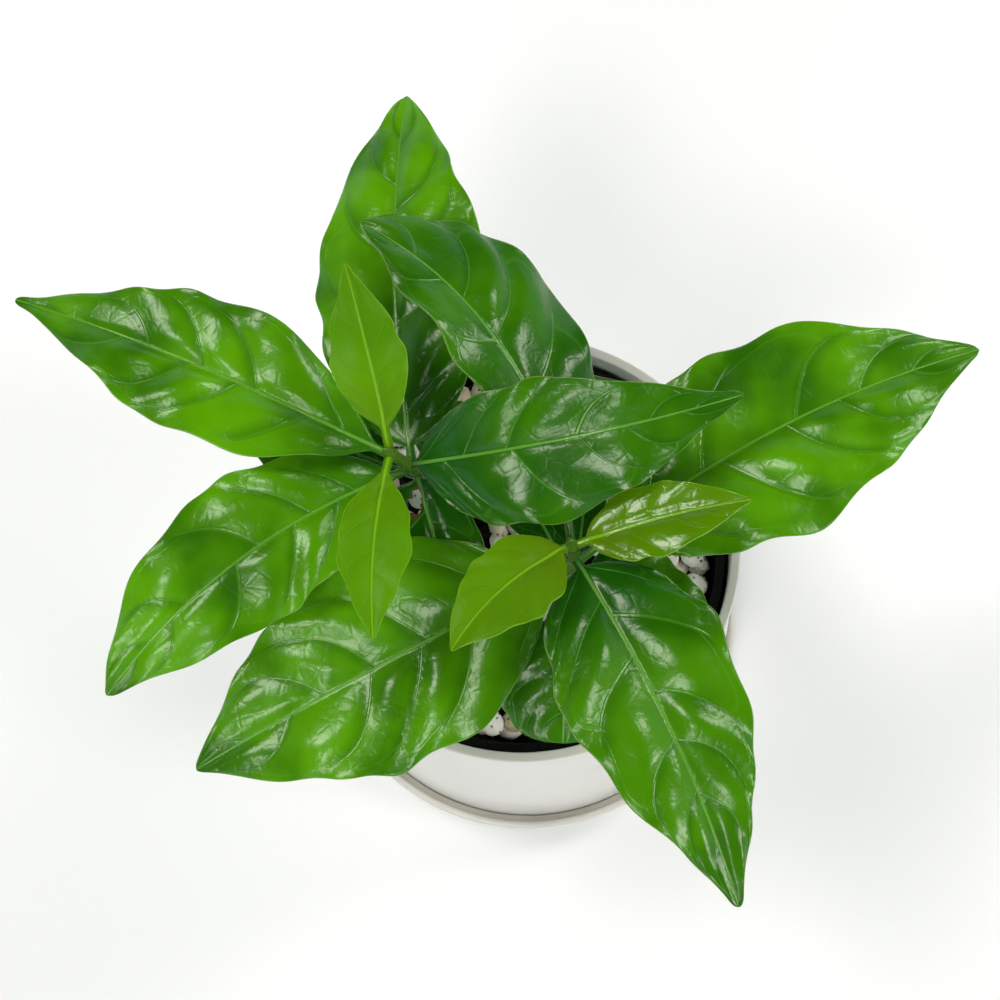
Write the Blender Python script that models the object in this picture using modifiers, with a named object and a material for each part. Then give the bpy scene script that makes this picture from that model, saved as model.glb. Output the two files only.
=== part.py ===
"""Potted coffee plant: two young coffee seedlings in a black nursery pot, the soil dressed with
pale pebbles, standing in a plain round cover pot on a saucer.

Metres, +Z up. The origin is on the ground, under the middle of the pot.
"""

import math
import random
from collections import namedtuple

import bmesh
import bpy
import numpy as np
from mathutils import Vector

NAME = "potted_coffee_plant"
GAP = 0.0003

# Saucer
SAUCER_HEIGHT = 0.014
SAUCER_RIM_RADIUS = 0.0497
SAUCER_FOOT_RADIUS = 0.0455
SAUCER_WALL = 0.0018
SAUCER_THROAT_RADIUS = 0.0467
SAUCER_THROAT_HEIGHT = 0.0126
SAUCER_FLOOR = 0.0024

# Cover pot
POT_HEIGHT = 0.095
POT_LIP_RADIUS = 0.0449
POT_BODY_RADIUS = 0.0464
POT_INNER_RADIUS = 0.0429
POT_LIP_HEIGHT = 0.0048
POT_NECK_RADIUS = 0.0442
POT_FOOT_ROUNDING = 0.0070
POT_FLOOR = 0.0030
POT_DRAIN_RADIUS = 0.0060

# Nursery pot, which stands inside the cover pot
NURSERY_RIM_HEIGHT = 0.0895
NURSERY_TOP_RADIUS = 0.0412
NURSERY_FOOT_RADIUS = 0.0330
NURSERY_WALL = 0.0010
NURSERY_LIP = 0.0009
NURSERY_DRAIN_RADIUS = 0.0040

# Soil and pebbles
SOIL_TOP = 0.0843
SOIL_DOME = 0.0012
PEBBLE_BED = SOIL_TOP + GAP
PEBBLE_RINGS = 5
PEBBLE_SPACING = 0.0083
PEBBLE_LENGTH = 0.0062
PEBBLE_WIDTH = 0.0058
PEBBLE_RISE = 0.0042
PEBBLE_NUDGE = 0.0006

# Leaves and stems
BLADE_THICKNESS = 0.0007
RIB_DEPTH = 0.0005
RIB_SHARE = 0.25
PETIOLE_RADIUS = 0.0008
TIP_RADIUS = 0.0003
OPENING = 0.12
ARCH = 0.20
YOUNG_ARCH = 0.10
RIPPLE = 0.035
RIPPLE_TURNS = 3.4
WAVE_TURNS = 3.0
STEM_ROUNDNESS = 2

# The hole in one lower leaf
HOLED_LEAF = "leaf_a9"
HOLE_ALONG = 0.125
HOLE_ASIDE = 0.0016
HOLE_LENGTH = 0.0054
HOLE_WIDTH = 0.0021
HOLE_TURN = -20
STEM_TOP_RADIUS = 0.0009
STEM_FOOT_RADIUS = 0.0017
NODE_SWELL = 0.0005
NODE_SPREAD = 0.0018
BUD_LENGTH = 0.0042
BUD_RADIUS = 0.0011
SOIL_HOLE_RADIUS = 0.0021
PEBBLE_HOLE_RADIUS = 0.0024

ROUND = 48
SEED = 11

Stem = namedtuple("Stem", "name foot top bow nodes")

STEM_A = Stem(
    "stem_a",
    foot=(-0.0045, 0.0100, 0.076),
    top=(-0.0214, 0.0026, 0.1645),
    bow=(-0.0005, 0.0003),
    nodes=(0.112, 0.131, 0.147, 0.1525, 0.1645),
)
STEM_B = Stem(
    "stem_b",
    foot=(0.0070, -0.0170, 0.076),
    top=(0.0082, -0.0162, 0.158),
    bow=(0.0012, 0.0002),
    nodes=(0.108, 0.125, 0.136, 0.1415, 0.150, 0.1575),
)

# height: where the leaf leaves its stem. azimuth: its direction there, in degrees from +X.
# swing: how far the azimuth turns by the tip. rise, droop: its slope at the stem and at the tip.
# left, right: greatest half widths. widest: where they are along the blade, from 0 to 1.
# fullness: low for a blunt oval, high for a slender one. roll: tilt of the blade about its rib,
# left side up. fold: how far each half stands up from the rib.
Leaf = namedtuple(
    "Leaf",
    "name stem height azimuth swing rise droop length petiole left right widest fullness roll fold"
    " wave young",
    defaults=(0.0011, False),
)

LEAVES = (
    Leaf("leaf_a1", STEM_A, 0.1645, 95, 4, 34, 14, 0.0325, 0.0035, 0.0068, 0.0069, 0.42, 2.2,
         -12, 14, wave=0.0003, young=True),
    Leaf("leaf_a2", STEM_A, 0.1645, -108, 16, 20, -6, 0.0330, 0.003, 0.0065, 0.0063, 0.44, 2.2,
         -3, 10, wave=0.0003, young=True),
    Leaf("leaf_a3", STEM_A, 0.1525, 148, 4, 16, -14, 0.0780, 0.005, 0.0142, 0.0139, 0.43, 2.4,
         2, 20),
    Leaf("leaf_a4", STEM_A, 0.1525, -10, 23, 34, -10, 0.0620, 0.0015, 0.0117, 0.0145, 0.37, 2.0,
         20, 16),
    Leaf("leaf_a5", STEM_A, 0.1470, 93, -16, 10, -14, 0.0740, 0.003, 0.0153, 0.0174, 0.41, 1.6,
         -12, 10),
    Leaf("leaf_a6", STEM_A, 0.1470, -163, 27, 16, -22, 0.0690, 0.003, 0.0130, 0.0138, 0.44, 1.8,
         -12, 10),
    Leaf("leaf_a7", STEM_A, 0.1120, -119, 8, 12, -16, 0.0420, 0.006, 0.0095, 0.0095, 0.45, 1.9,
         0, 10, wave=0.0006),
    Leaf("leaf_a8", STEM_A, 0.1310, 156, -12, 8, -4, 0.0400, 0.006, 0.0108, 0.0108, 0.48, 1.8,
         0, 10, wave=0.0006),
    Leaf("leaf_a9", STEM_A, 0.1450, -82, 4, -30, -8, 0.0400, 0.0012, 0.0086, 0.0135, 0.38, 0.90,
         0, 8, wave=0.0004),
    Leaf("leaf_a10", STEM_A, 0.1310, 23, -12, 4, -4, 0.0420, 0.004, 0.0112, 0.0106, 0.38, 1.5,
         0, 8, wave=0.0006),
    Leaf("leaf_b1", STEM_B, 0.1570, 13, -14, 10, 8, 0.0310, 0.002, 0.0064, 0.0072, 0.39, 1.75,
         -4, 12, wave=0.0003, young=True),
    Leaf("leaf_b2", STEM_B, 0.1580, -160, 33, 16, -4, 0.0275, 0.001, 0.0092, 0.0073, 0.38, 1.7,
         12, 14, wave=0.0003, young=True),
    Leaf("leaf_b3", STEM_B, 0.1500, -65, -14, 12, -20, 0.0675, 0.0018, 0.0164, 0.0168, 0.35, 1.75,
         -4, 18),
    Leaf("leaf_b4", STEM_B, 0.1500, 88, 56, 20, -4, 0.0735, 0.007, 0.0089, 0.0172, 0.54, 1.75,
         24, 10),
    Leaf("leaf_b5", STEM_B, 0.1420, 31, -20, 16, -10, 0.0840, 0.006, 0.0183, 0.0202, 0.44, 2.05,
         3, 18),
    Leaf("leaf_b6", STEM_B, 0.1400, -161, 3, 0, -14, 0.0775, 0.005, 0.0200, 0.0206, 0.42, 1.8,
         -6, 14),
    Leaf("leaf_b7", STEM_B, 0.1250, -104, 6, 6, -30, 0.0285, 0.004, 0.0112, 0.0128, 0.60, 1.15,
         0, 8, wave=0.0006),
    Leaf("leaf_b8", STEM_B, 0.1360, -28, -8, 2, -14, 0.0270, 0.001, 0.0094, 0.0100, 0.35, 1.0,
         4, 10, wave=0.0006),
    Leaf("leaf_b9", STEM_B, 0.1250, 76, 3, 6, -6, 0.0400, 0.005, 0.0098, 0.0098, 0.50, 1.5,
         0, 10, wave=0.0005),
    Leaf("leaf_b10", STEM_B, 0.1080, 96, 58, 6, -2, 0.0500, 0.005, 0.0076, 0.0088, 0.64, 1.5,
         0, 8, wave=0.0004),
)


def clear_scene():
    for old in list(bpy.data.objects):
        bpy.data.objects.remove(old, do_unlink=True)


def new_collection(name):
    collection = bpy.data.collections.new(name)
    bpy.context.scene.collection.children.link(collection)
    return collection


def principled(name, color, roughness, metallic=0.0):
    material = bpy.data.materials.new(name)
    material.use_nodes = True
    shader = material.node_tree.nodes["Principled BSDF"]
    shader.inputs["Base Color"].default_value = (*color, 1.0)
    shader.inputs["Roughness"].default_value = roughness
    shader.inputs["Metallic"].default_value = metallic
    return material


def add_object(name, mesh, material, collection):
    obj = bpy.data.objects.new(name, mesh)
    obj.data.materials.append(material)
    collection.objects.link(obj)
    return obj


def arc(center_x, center_z, radius, start, end, steps):
    """Points of an arc in the XZ plane, from one angle to another in degrees."""
    angles = np.radians(np.linspace(start, end, steps + 1))
    return [(center_x + radius * math.cos(a), center_z + radius * math.sin(a)) for a in angles]


def turned(name, profile, closed_loop, material, collection):
    """A body of revolution: its profile runs out along the inside, over the rim and down."""
    bm = bmesh.new()
    verts = [bm.verts.new((x, 0.0, z)) for x, z in profile]
    for near, far in zip(verts, verts[1:]):
        bm.edges.new((near, far))
    if closed_loop:
        bm.edges.new((verts[-1], verts[0]))
    mesh = bpy.data.meshes.new(name)
    bm.to_mesh(mesh)
    bm.free()
    obj = add_object(name, mesh, material, collection)
    screw = obj.modifiers.new("Turn", "SCREW")
    screw.angle = math.tau
    screw.steps = ROUND
    screw.render_steps = ROUND
    screw.use_merge_vertices = True
    screw.merge_threshold = 0.00001
    screw.use_smooth_shade = True
    return obj


def make_saucer(material, collection):
    rim = SAUCER_WALL / 2
    rim_center = SAUCER_RIM_RADIUS - rim
    floor_radius = SAUCER_FOOT_RADIUS - SAUCER_WALL
    profile = [(0.0, SAUCER_FLOOR), (floor_radius - 0.0012, SAUCER_FLOOR)]
    profile.append((floor_radius, SAUCER_FLOOR + 0.0008))
    profile.append((SAUCER_THROAT_RADIUS - 0.0016, SAUCER_HEIGHT * 0.37))
    profile.append((SAUCER_THROAT_RADIUS - 0.0003, SAUCER_HEIGHT * 0.54))
    profile.append((SAUCER_THROAT_RADIUS, SAUCER_HEIGHT * 0.66))
    profile.append((SAUCER_THROAT_RADIUS, SAUCER_THROAT_HEIGHT))
    profile += arc(rim_center, SAUCER_HEIGHT - rim, rim, 180, 0, 4)
    profile.append((SAUCER_FOOT_RADIUS + 0.0008, 0.0012))
    profile += [(SAUCER_FOOT_RADIUS - 0.0004, 0.0), (0.0, 0.0)]
    return turned("saucer", profile, False, material, collection)


def make_pot(material, collection):
    foot = SAUCER_FLOOR + GAP
    floor = foot + POT_FLOOR
    lip = (POT_LIP_RADIUS - POT_INNER_RADIUS) / 2
    rounding = POT_FOOT_ROUNDING
    profile = [(POT_DRAIN_RADIUS, floor)]
    profile += arc(POT_INNER_RADIUS - 0.004, floor + 0.004, 0.004, -90, 0, 3)
    profile += arc(POT_INNER_RADIUS + lip, POT_HEIGHT - lip, lip, 180, 0, 6)
    profile.append((POT_LIP_RADIUS, POT_HEIGHT - POT_LIP_HEIGHT))
    profile.append((POT_NECK_RADIUS, POT_HEIGHT - POT_LIP_HEIGHT - 0.0009))
    profile.append((POT_NECK_RADIUS + 0.0004, POT_HEIGHT * 0.75))
    profile.append((POT_BODY_RADIUS, POT_HEIGHT * 0.35))
    profile += arc(POT_BODY_RADIUS - rounding, foot + rounding, rounding, 0, -90, 5)
    profile.append((POT_DRAIN_RADIUS, foot))
    return turned("cover_pot", profile, True, material, collection)


def nursery_floor():
    return SAUCER_FLOOR + GAP + POT_FLOOR + GAP


def make_nursery_pot(material, collection):
    foot = nursery_floor()
    floor = foot + NURSERY_WALL
    inner_top = NURSERY_TOP_RADIUS - NURSERY_WALL
    profile = [
        (NURSERY_DRAIN_RADIUS, floor),
        (NURSERY_FOOT_RADIUS - NURSERY_WALL, floor),
        (inner_top, NURSERY_RIM_HEIGHT - 0.0015),
        (inner_top, NURSERY_RIM_HEIGHT),
        (NURSERY_TOP_RADIUS + NURSERY_LIP, NURSERY_RIM_HEIGHT),
        (NURSERY_TOP_RADIUS + NURSERY_LIP, NURSERY_RIM_HEIGHT - 0.0030),
        (NURSERY_TOP_RADIUS, NURSERY_RIM_HEIGHT - 0.0034),
        (NURSERY_FOOT_RADIUS, foot),
        (NURSERY_DRAIN_RADIUS, foot),
    ]
    return turned("nursery_pot", profile, True, material, collection)


def nursery_inner_radius(height):
    """Inside radius of the nursery pot's tapering wall."""
    foot = nursery_floor() + NURSERY_WALL
    share = (height - foot) / (NURSERY_RIM_HEIGHT - 0.0015 - foot)
    return NURSERY_FOOT_RADIUS - NURSERY_WALL + share * (NURSERY_TOP_RADIUS - NURSERY_FOOT_RADIUS)


def stem_point(stem, height):
    foot = np.array(stem.foot)
    top = np.array(stem.top)
    share = (height - foot[2]) / (top[2] - foot[2])
    bow = np.array((*stem.bow, 0.0))
    return foot + (top - foot) * share + bow * math.sin(math.pi * min(share, 1.0))


def stem_radius(stem, height):
    """Radius of the stem, with a swelling at each pair of leaves and a bud at the top."""
    top = stem.top[2]
    share = min(max((height - stem.foot[2]) / (top - stem.foot[2]), 0.0), 1.0)
    radius = STEM_FOOT_RADIUS + (STEM_TOP_RADIUS - STEM_FOOT_RADIUS) * share
    swell = max(math.exp(-(((height - node) / NODE_SPREAD) ** 2)) for node in stem.nodes)
    radius += NODE_SWELL * swell * (1.0 - 0.5 * share)
    if height > top:
        above = (height - top) / BUD_LENGTH
        radius = max(BUD_RADIUS * math.sqrt(max(1.0 - above ** 1.5, 0.0)), TIP_RADIUS)
    return radius


def cut(obj, cutter, name, cutters):
    """Takes the cutter, which is the active object, out of the piece."""
    cutter.name = name
    for holder in list(cutter.users_collection):
        holder.objects.unlink(cutter)
    cutters.objects.link(cutter)
    cutter.hide_render = True
    cutter.display_type = "WIRE"
    boolean = obj.modifiers.new(name, "BOOLEAN")
    boolean.operation = "DIFFERENCE"
    boolean.object = cutter


def cut_stem_hole(obj, stem, radius, low, high, cutters):
    """A plain round hole that leans as the foot of the stem does."""
    start = Vector(stem_point(stem, low))
    along = Vector(stem_point(stem, high)) - start
    bpy.ops.mesh.primitive_cylinder_add(
        vertices=16,
        radius=radius,
        depth=along.length,
        location=start + along / 2,
        rotation=along.to_track_quat("Z", "X").to_euler(),
    )
    cut(obj, bpy.context.active_object, f"{obj.name}_hole_{stem.name}", cutters)


def make_soil(material, collection, cutters):
    floor = nursery_floor() + NURSERY_WALL + GAP
    top_radius = nursery_inner_radius(SOIL_TOP) - GAP - 0.0001
    profile = [
        (0.0, SOIL_TOP),
        (top_radius * 0.86, SOIL_TOP),
        (top_radius, SOIL_TOP - SOIL_DOME),
        (nursery_inner_radius(floor) - GAP - 0.0001, floor),
        (0.0, floor),
    ]
    soil = turned("soil", profile, False, material, collection)
    for stem in (STEM_A, STEM_B):
        low = stem.foot[2] - GAP
        cut_stem_hole(soil, stem, SOIL_HOLE_RADIUS, low, SOIL_TOP + 0.004, cutters)
    return soil


def pebble_places():
    """Centres in rings inside the nursery pot, each nudged a little."""
    rng = random.Random(SEED)
    for ring in range(PEBBLE_RINGS):
        count = max(6 * ring, 1)
        for k in range(count):
            around = math.tau * (k + 0.5 * (ring % 2)) / count
            x = ring * PEBBLE_SPACING * math.cos(around)
            y = ring * PEBBLE_SPACING * math.sin(around)
            x += rng.uniform(-PEBBLE_NUDGE, PEBBLE_NUDGE)
            y += rng.uniform(-PEBBLE_NUDGE, PEBBLE_NUDGE)
            turn = rng.uniform(0.0, math.pi)
            size = rng.uniform(0.96, 1.06)
            lift = rng.uniform(-0.0002, 0.0012)
            yield x, y, turn, size, lift


def make_pebbles(material, collection, cutters):
    """Rounded pebbles that lean on one another, joined where they touch."""
    heap = bpy.data.collections.new("pebble_heap")
    bpy.context.scene.collection.children.link(heap)
    rng = random.Random(SEED + 1)
    stones = []
    for x, y, turn, size, lift in pebble_places():
        bm = bmesh.new()
        bmesh.ops.create_icosphere(bm, subdivisions=1, radius=1.0)
        for vert in bm.verts:
            vert.co *= rng.uniform(0.90, 1.06)
            vert.co.x *= PEBBLE_LENGTH * size
            vert.co.y *= PEBBLE_WIDTH * size
            vert.co.z *= PEBBLE_RISE
        mesh = bpy.data.meshes.new("pebble")
        bm.to_mesh(mesh)
        bm.free()
        stone = bpy.data.objects.new(f"pebble_{len(stones)}", mesh)
        stone.location = (x, y, PEBBLE_BED + 0.0006 + lift)
        stone.rotation_euler = (0.0, 0.0, turn)
        heap.objects.link(stone)
        stones.append(stone)

    first = stones[0]
    heap.objects.unlink(first)
    collection.objects.link(first)
    union = first.modifiers.new("Join", "BOOLEAN")
    union.operation = "UNION"
    union.operand_type = "COLLECTION"
    union.collection = heap
    bpy.context.view_layer.update()
    graph = bpy.context.evaluated_depsgraph_get()
    mesh = bpy.data.meshes.new_from_object(first.evaluated_get(graph))
    mesh.transform(first.matrix_world)
    for stone in stones:
        bpy.data.objects.remove(stone, do_unlink=True)
    bpy.data.collections.remove(heap)

    mesh.name = "pebbles"
    mesh.materials.clear()
    pebbles = add_object("pebbles", mesh, material, collection)
    side = 2 * POT_LIP_RADIUS
    bpy.ops.mesh.primitive_cube_add(size=side, location=(0.0, 0.0, PEBBLE_BED - side / 2))
    cut(pebbles, bpy.context.active_object, "below_pebbles", cutters)
    for stem in (STEM_A, STEM_B):
        low, high = SOIL_TOP - 0.002, SOIL_TOP + 0.012
        cut_stem_hole(pebbles, stem, PEBBLE_HOLE_RADIUS, low, high, cutters)
    return pebbles


def make_stem(stem, material, collection):
    """A tapering stem as a round curve, from its foot in the soil to its bud."""
    curve = bpy.data.curves.new(stem.name, "CURVE")
    curve.dimensions = "3D"
    curve.bevel_depth = STEM_FOOT_RADIUS
    curve.bevel_resolution = STEM_ROUNDNESS
    curve.use_fill_caps = True
    heights = list(np.linspace(stem.foot[2], stem.nodes[0] - NODE_SPREAD, 5))
    for node, above in zip(stem.nodes, (*stem.nodes[1:], stem.top[2] + BUD_LENGTH)):
        step = min(NODE_SPREAD, (above - node) / 2)
        heights += [node, node + step]
        if above - node > 3 * NODE_SPREAD:
            heights.append(above - NODE_SPREAD)
    heights.append(stem.top[2] + BUD_LENGTH)
    spline = curve.splines.new("POLY")
    spline.points.add(len(heights) - 1)
    for point, height in zip(spline.points, heights):
        point.co = (*stem_point(stem, height), 1.0)
        point.radius = stem_radius(stem, height) / STEM_FOOT_RADIUS
    return add_object(stem.name, curve, material, collection)


def half_width(share, widest, fullness):
    """Share of the greatest half width, from 0 at the blade's base to 1 at its widest place."""
    share = min(max(share, 0.0), 1.0)
    rising = (share / widest) ** (fullness * widest)
    falling = ((1.0 - share) / (1.0 - widest)) ** (fullness * (1.0 - widest))
    return rising * falling


def leaf_rib(leaf, steps=48):
    """Points along the leaf's rib, with its sideways and upward directions at each."""
    share = np.linspace(0.0, 1.0, steps + 1)
    middle = (share[1:] + share[:-1]) / 2

    def heading(at):
        azimuth = np.radians(leaf.azimuth + leaf.swing * at)
        slope = np.radians(leaf.rise + (leaf.droop - leaf.rise) * at)
        flat = np.stack([np.cos(azimuth), np.sin(azimuth), np.zeros_like(at)], axis=1)
        ahead = flat * np.cos(slope)[:, None] + np.outer(np.sin(slope), (0.0, 0.0, 1.0))
        return flat, ahead

    azimuth = math.radians(leaf.azimuth)
    away = stem_radius(leaf.stem, leaf.height) + GAP + 0.0001
    start = stem_point(leaf.stem, leaf.height)
    start = start + away * np.array((math.cos(azimuth), math.sin(azimuth), 0.0))
    _, ahead = heading(middle)
    points = start + np.vstack([np.zeros(3), np.cumsum(ahead, axis=0)]) * leaf.length / steps
    flat, ahead = heading(share)
    level = np.stack([-flat[:, 1], flat[:, 0], flat[:, 2]], axis=1)
    upright = np.cross(ahead, level)
    roll = math.radians(leaf.roll)
    side = level * math.cos(roll) + upright * math.sin(roll)
    up = upright * math.cos(roll) - level * math.sin(roll)
    return share, points, side, up


def between(at, share, rows):
    return np.array([np.interp(at, share, rows[:, axis]) for axis in range(3)])


def pierce(leaf, obj, cutters):
    """A torn hole beside the rib, long in the leaf's direction."""
    share, points, side, _ = leaf_rib(leaf)
    place = between(HOLE_ALONG, share, points) - between(HOLE_ALONG, share, side) * HOLE_ASIDE
    bpy.ops.mesh.primitive_cylinder_add(
        vertices=10,
        radius=HOLE_LENGTH / 2,
        depth=0.02,
        location=place,
        rotation=(0.0, 0.0, math.radians(leaf.azimuth + HOLE_TURN)),
    )
    cutter = bpy.context.active_object
    cutter.scale.y = HOLE_WIDTH / HOLE_LENGTH
    cut(obj, cutter, f"{leaf.name}_hole", cutters)


def smooth_step(value):
    value = min(max(value, 0.0), 1.0)
    return value * value * (3.0 - 2.0 * value)


def leaf_section(leaf, rib, at, columns, phases):
    """A closed ring round the leaf: its upper face from right to left, its lower face back."""
    share, points, side, up = rib
    center = between(at, share, points)
    side = between(at, share, side)
    up = between(at, share, up)
    petiole = leaf.petiole / leaf.length
    blade = max((at - petiole) / (1.0 - petiole), 0.0)
    stalk = PETIOLE_RADIUS + (TIP_RADIUS - PETIOLE_RADIUS) * blade
    spread = half_width(blade, leaf.widest, leaf.fullness)
    opened = smooth_step(blade / OPENING)
    fold = math.radians(leaf.fold) * opened
    arch = (YOUNG_ARCH if leaf.young else ARCH) * opened
    keel = RIB_DEPTH * (1.0 - blade)
    thin = BLADE_THICKNESS / 2
    upper = []
    lower = []
    for v in columns:
        phase = phases[0] if v > 0 else phases[1]
        ripple = 1.0 + RIPPLE * math.sin(math.tau * (RIPPLE_TURNS * blade + phase)) * opened
        widest = leaf.left if v > 0 else leaf.right
        width = math.hypot(widest * spread * ripple, stalk)
        out = width * abs(v)
        wave = math.sin(math.tau * (WAVE_TURNS * blade + 0.5 * phase)) * 4.0 * blade * (1.0 - blade)
        rise = out * math.sin(fold) + (leaf.wave * wave - arch * width) * v * v
        place = center + side * math.copysign(out * math.cos(fold), v) + up * rise
        rounded = (thin + (stalk - thin) * math.sqrt(1.0 - v * v)) * (1.0 - opened)
        upper.append(place + up * (rounded + thin * opened))
        ribbed = thin + keel * max(1.0 - abs(v) / RIB_SHARE, 0.0)
        lower.append(place - up * (rounded + ribbed * opened))
    return upper + lower[::-1]


def make_leaf(leaf, material, collection):
    """A loft from the round stalk to the thin blade, both faces split into like triangles."""
    grown = leaf.length > 0.05
    columns = (-1.0, -0.62, -0.25, 0.0, 0.25, 0.62, 1.0) if grown else (-1.0, -0.5, 0.0, 0.5, 1.0)
    steps = 12 if grown else 10
    petiole = leaf.petiole / leaf.length
    stations = [0.0, petiole * 0.5]
    for step in range(steps + 1):
        even = step / steps
        eased = (1.0 - math.cos(math.pi * even)) / 2
        stations.append(petiole + (1.0 - petiole) * (even + eased) / 2)
    rng = random.Random(leaf.name)
    phases = (rng.random(), rng.random())
    rib = leaf_rib(leaf)
    bm = bmesh.new()
    rings = []
    for at in stations:
        ring = [bm.verts.new(point) for point in leaf_section(leaf, rib, at, columns, phases)]
        rings.append(ring)
    count = len(rings[0])
    upper = len(columns)
    for near, far in zip(rings, rings[1:]):
        for k in range(count):
            after = (k + 1) % count
            if k < upper:
                bm.faces.new((near[k], far[k], far[after]))
                bm.faces.new((near[k], far[after], near[after]))
            else:
                bm.faces.new((near[k], far[k], near[after]))
                bm.faces.new((near[after], far[k], far[after]))
    bm.faces.new(rings[0])
    bm.faces.new(rings[-1])
    bmesh.ops.recalc_face_normals(bm, faces=bm.faces)
    mesh = bpy.data.meshes.new(leaf.name)
    bm.to_mesh(mesh)
    bm.free()
    mesh.shade_smooth()
    return add_object(leaf.name, mesh, material, collection)


def main():
    clear_scene()
    parts = new_collection(NAME)
    cutters = new_collection("cutters")
    glazed = principled("pot_glaze", (0.78, 0.77, 0.73), 0.45)
    black = principled("nursery_black", (0.02, 0.02, 0.02), 0.5)
    earth = principled("soil_brown", (0.035, 0.024, 0.016), 0.95)
    stone = principled("pebble_white", (0.72, 0.66, 0.58), 0.7)
    bark = principled("stem_green", (0.12, 0.22, 0.04), 0.45)
    mature = principled("leaf_green", (0.05, 0.24, 0.01), 0.25)
    young = principled("leaf_young", (0.20, 0.40, 0.01), 0.25)

    make_saucer(glazed, parts)
    make_pot(glazed, parts)
    make_nursery_pot(black, parts)
    make_soil(earth, parts, cutters)
    make_pebbles(stone, parts, cutters)
    for stem in (STEM_A, STEM_B):
        make_stem(stem, bark, parts)
    for leaf in LEAVES:
        obj = make_leaf(leaf, young if leaf.young else mature, parts)
        if leaf.name == HOLED_LEAF:
            pierce(leaf, obj, cutters)


main()
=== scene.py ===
"""Potted coffee plant: the finished looks of two young coffee seedlings in their pots.

Metres, +Z up. The origin is on the ground, under the middle of the pot.
"""

import math
import random
from collections import namedtuple

import bmesh
import bpy
import numpy as np
from mathutils import Matrix, Vector, noise


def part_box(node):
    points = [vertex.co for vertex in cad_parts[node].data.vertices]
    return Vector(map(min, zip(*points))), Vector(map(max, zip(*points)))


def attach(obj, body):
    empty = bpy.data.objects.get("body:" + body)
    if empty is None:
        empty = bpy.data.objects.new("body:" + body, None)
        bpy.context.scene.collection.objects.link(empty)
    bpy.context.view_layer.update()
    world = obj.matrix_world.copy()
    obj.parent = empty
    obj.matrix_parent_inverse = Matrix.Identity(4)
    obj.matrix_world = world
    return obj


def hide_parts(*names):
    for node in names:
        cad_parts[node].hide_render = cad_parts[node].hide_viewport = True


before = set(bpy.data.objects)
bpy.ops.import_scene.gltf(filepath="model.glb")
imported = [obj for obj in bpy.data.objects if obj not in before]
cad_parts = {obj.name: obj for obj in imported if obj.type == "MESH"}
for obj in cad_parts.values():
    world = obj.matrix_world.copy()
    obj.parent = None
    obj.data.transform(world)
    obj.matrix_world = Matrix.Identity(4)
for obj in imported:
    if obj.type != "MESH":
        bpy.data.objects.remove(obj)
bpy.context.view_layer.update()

bl_info = {
    "name": "Potted Coffee Plant",
    "version": (1, 0, 0),
    "blender": (4, 5, 0),
    "location": "View3D > Sidebar > Coffee Plant",
    "description": "Builds a young coffee plant with glossy leaves in a round pot on a saucer",
    "category": "Object",
}

GAP = 0.0003
MM = 0.001

# Pots, turned about the pot's axis
TURN_STEPS = 128
SAUCER_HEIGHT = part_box("saucer")[1].z
SAUCER_RIM_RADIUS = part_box("saucer")[1].x
SAUCER_FOOT_RADIUS = 0.0455
SAUCER_WALL = 0.0018
SAUCER_THROAT_RADIUS = 0.0465
SAUCER_THROAT_HEIGHT = 0.0126
SAUCER_FLOOR = 0.0024
SAUCER_CORNER = 0.0012
POT_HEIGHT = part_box("cover_pot")[1].z
POT_LIP_RADIUS = 0.0449
POT_BODY_RADIUS = 0.0464
POT_INNER_RADIUS = 0.0429
POT_LIP_HEIGHT = 0.0048
POT_NECK_RADIUS = 0.0442
POT_EDGE = 0.0004
POT_NECK_EDGE = 0.0005
POT_NECK_DROP = 0.0009
POT_FOOT_ROUNDING = 0.0070
POT_FOOT_INSET = 0.0010
POT_FLOOR = 0.0030
POT_FLOOR_CORNER = 0.004
POT_DRAIN_RADIUS = 0.0060
NURSERY_RIM_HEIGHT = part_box("nursery_pot")[1].z
NURSERY_TOP_RADIUS = 0.0412
NURSERY_FOOT_RADIUS = 0.0330
NURSERY_WALL = 0.0010
NURSERY_LIP = 0.0009
NURSERY_BEAD = 0.0004
NURSERY_THROAT = 0.0015
NURSERY_RIM_DEPTH = 0.0034
NURSERY_FOOT_EDGE = 0.0005
NURSERY_DRAIN_RADIUS = 0.0040

# Points of the saucer's inner wall: how far inside its throat, and the share of its height
SAUCER_INSIDE = ((0.0016, 0.37), (0.0003, 0.54), (0.0, 0.66))

# Points of the edge of its throat: how far outside the throat, and how far below its top
SAUCER_EDGE = ((0.0, 0.0004), (0.0003, 0.0))

# The point where its outside begins to flare: how far outside its foot, and the height
SAUCER_FLARE = (0.0022, 0.0050)

# Points under the saucer: how far inside its foot, and the height
SAUCER_UNDERSIDE = ((0.0030, 0.0), (0.0038, 0.0004), (0.0060, 0.0005))

# Points down the outside of the nursery pot's rim: how far inside its lip, and below its top
NURSERY_RIM = ((0.0, 0.0030), (0.0003, 0.0033))

# The cover pot widens from its neck to its body between these shares of its height
POT_NECK_END = 0.92
POT_BODY_START = 0.38

# Soil and pebbles
SOIL_TOP = 0.0843
SOIL_DOME = 0.0012
SOIL_FLAT_SHARE = 0.94
SOIL_SLACK = 0.0001
SOIL_CRUMB = 0.0007
SOIL_STEPS = 34
PEBBLE_SPACING = 0.0055
PEBBLE_NUDGE = 0.0007
PEBBLE_SEED = 11
PEBBLE_CLEARANCE = 0.0004
PEBBLE_TILT = 0.35
PEBBLE_FLATS = 7
PEBBLE_WEAR = 0.85

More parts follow.
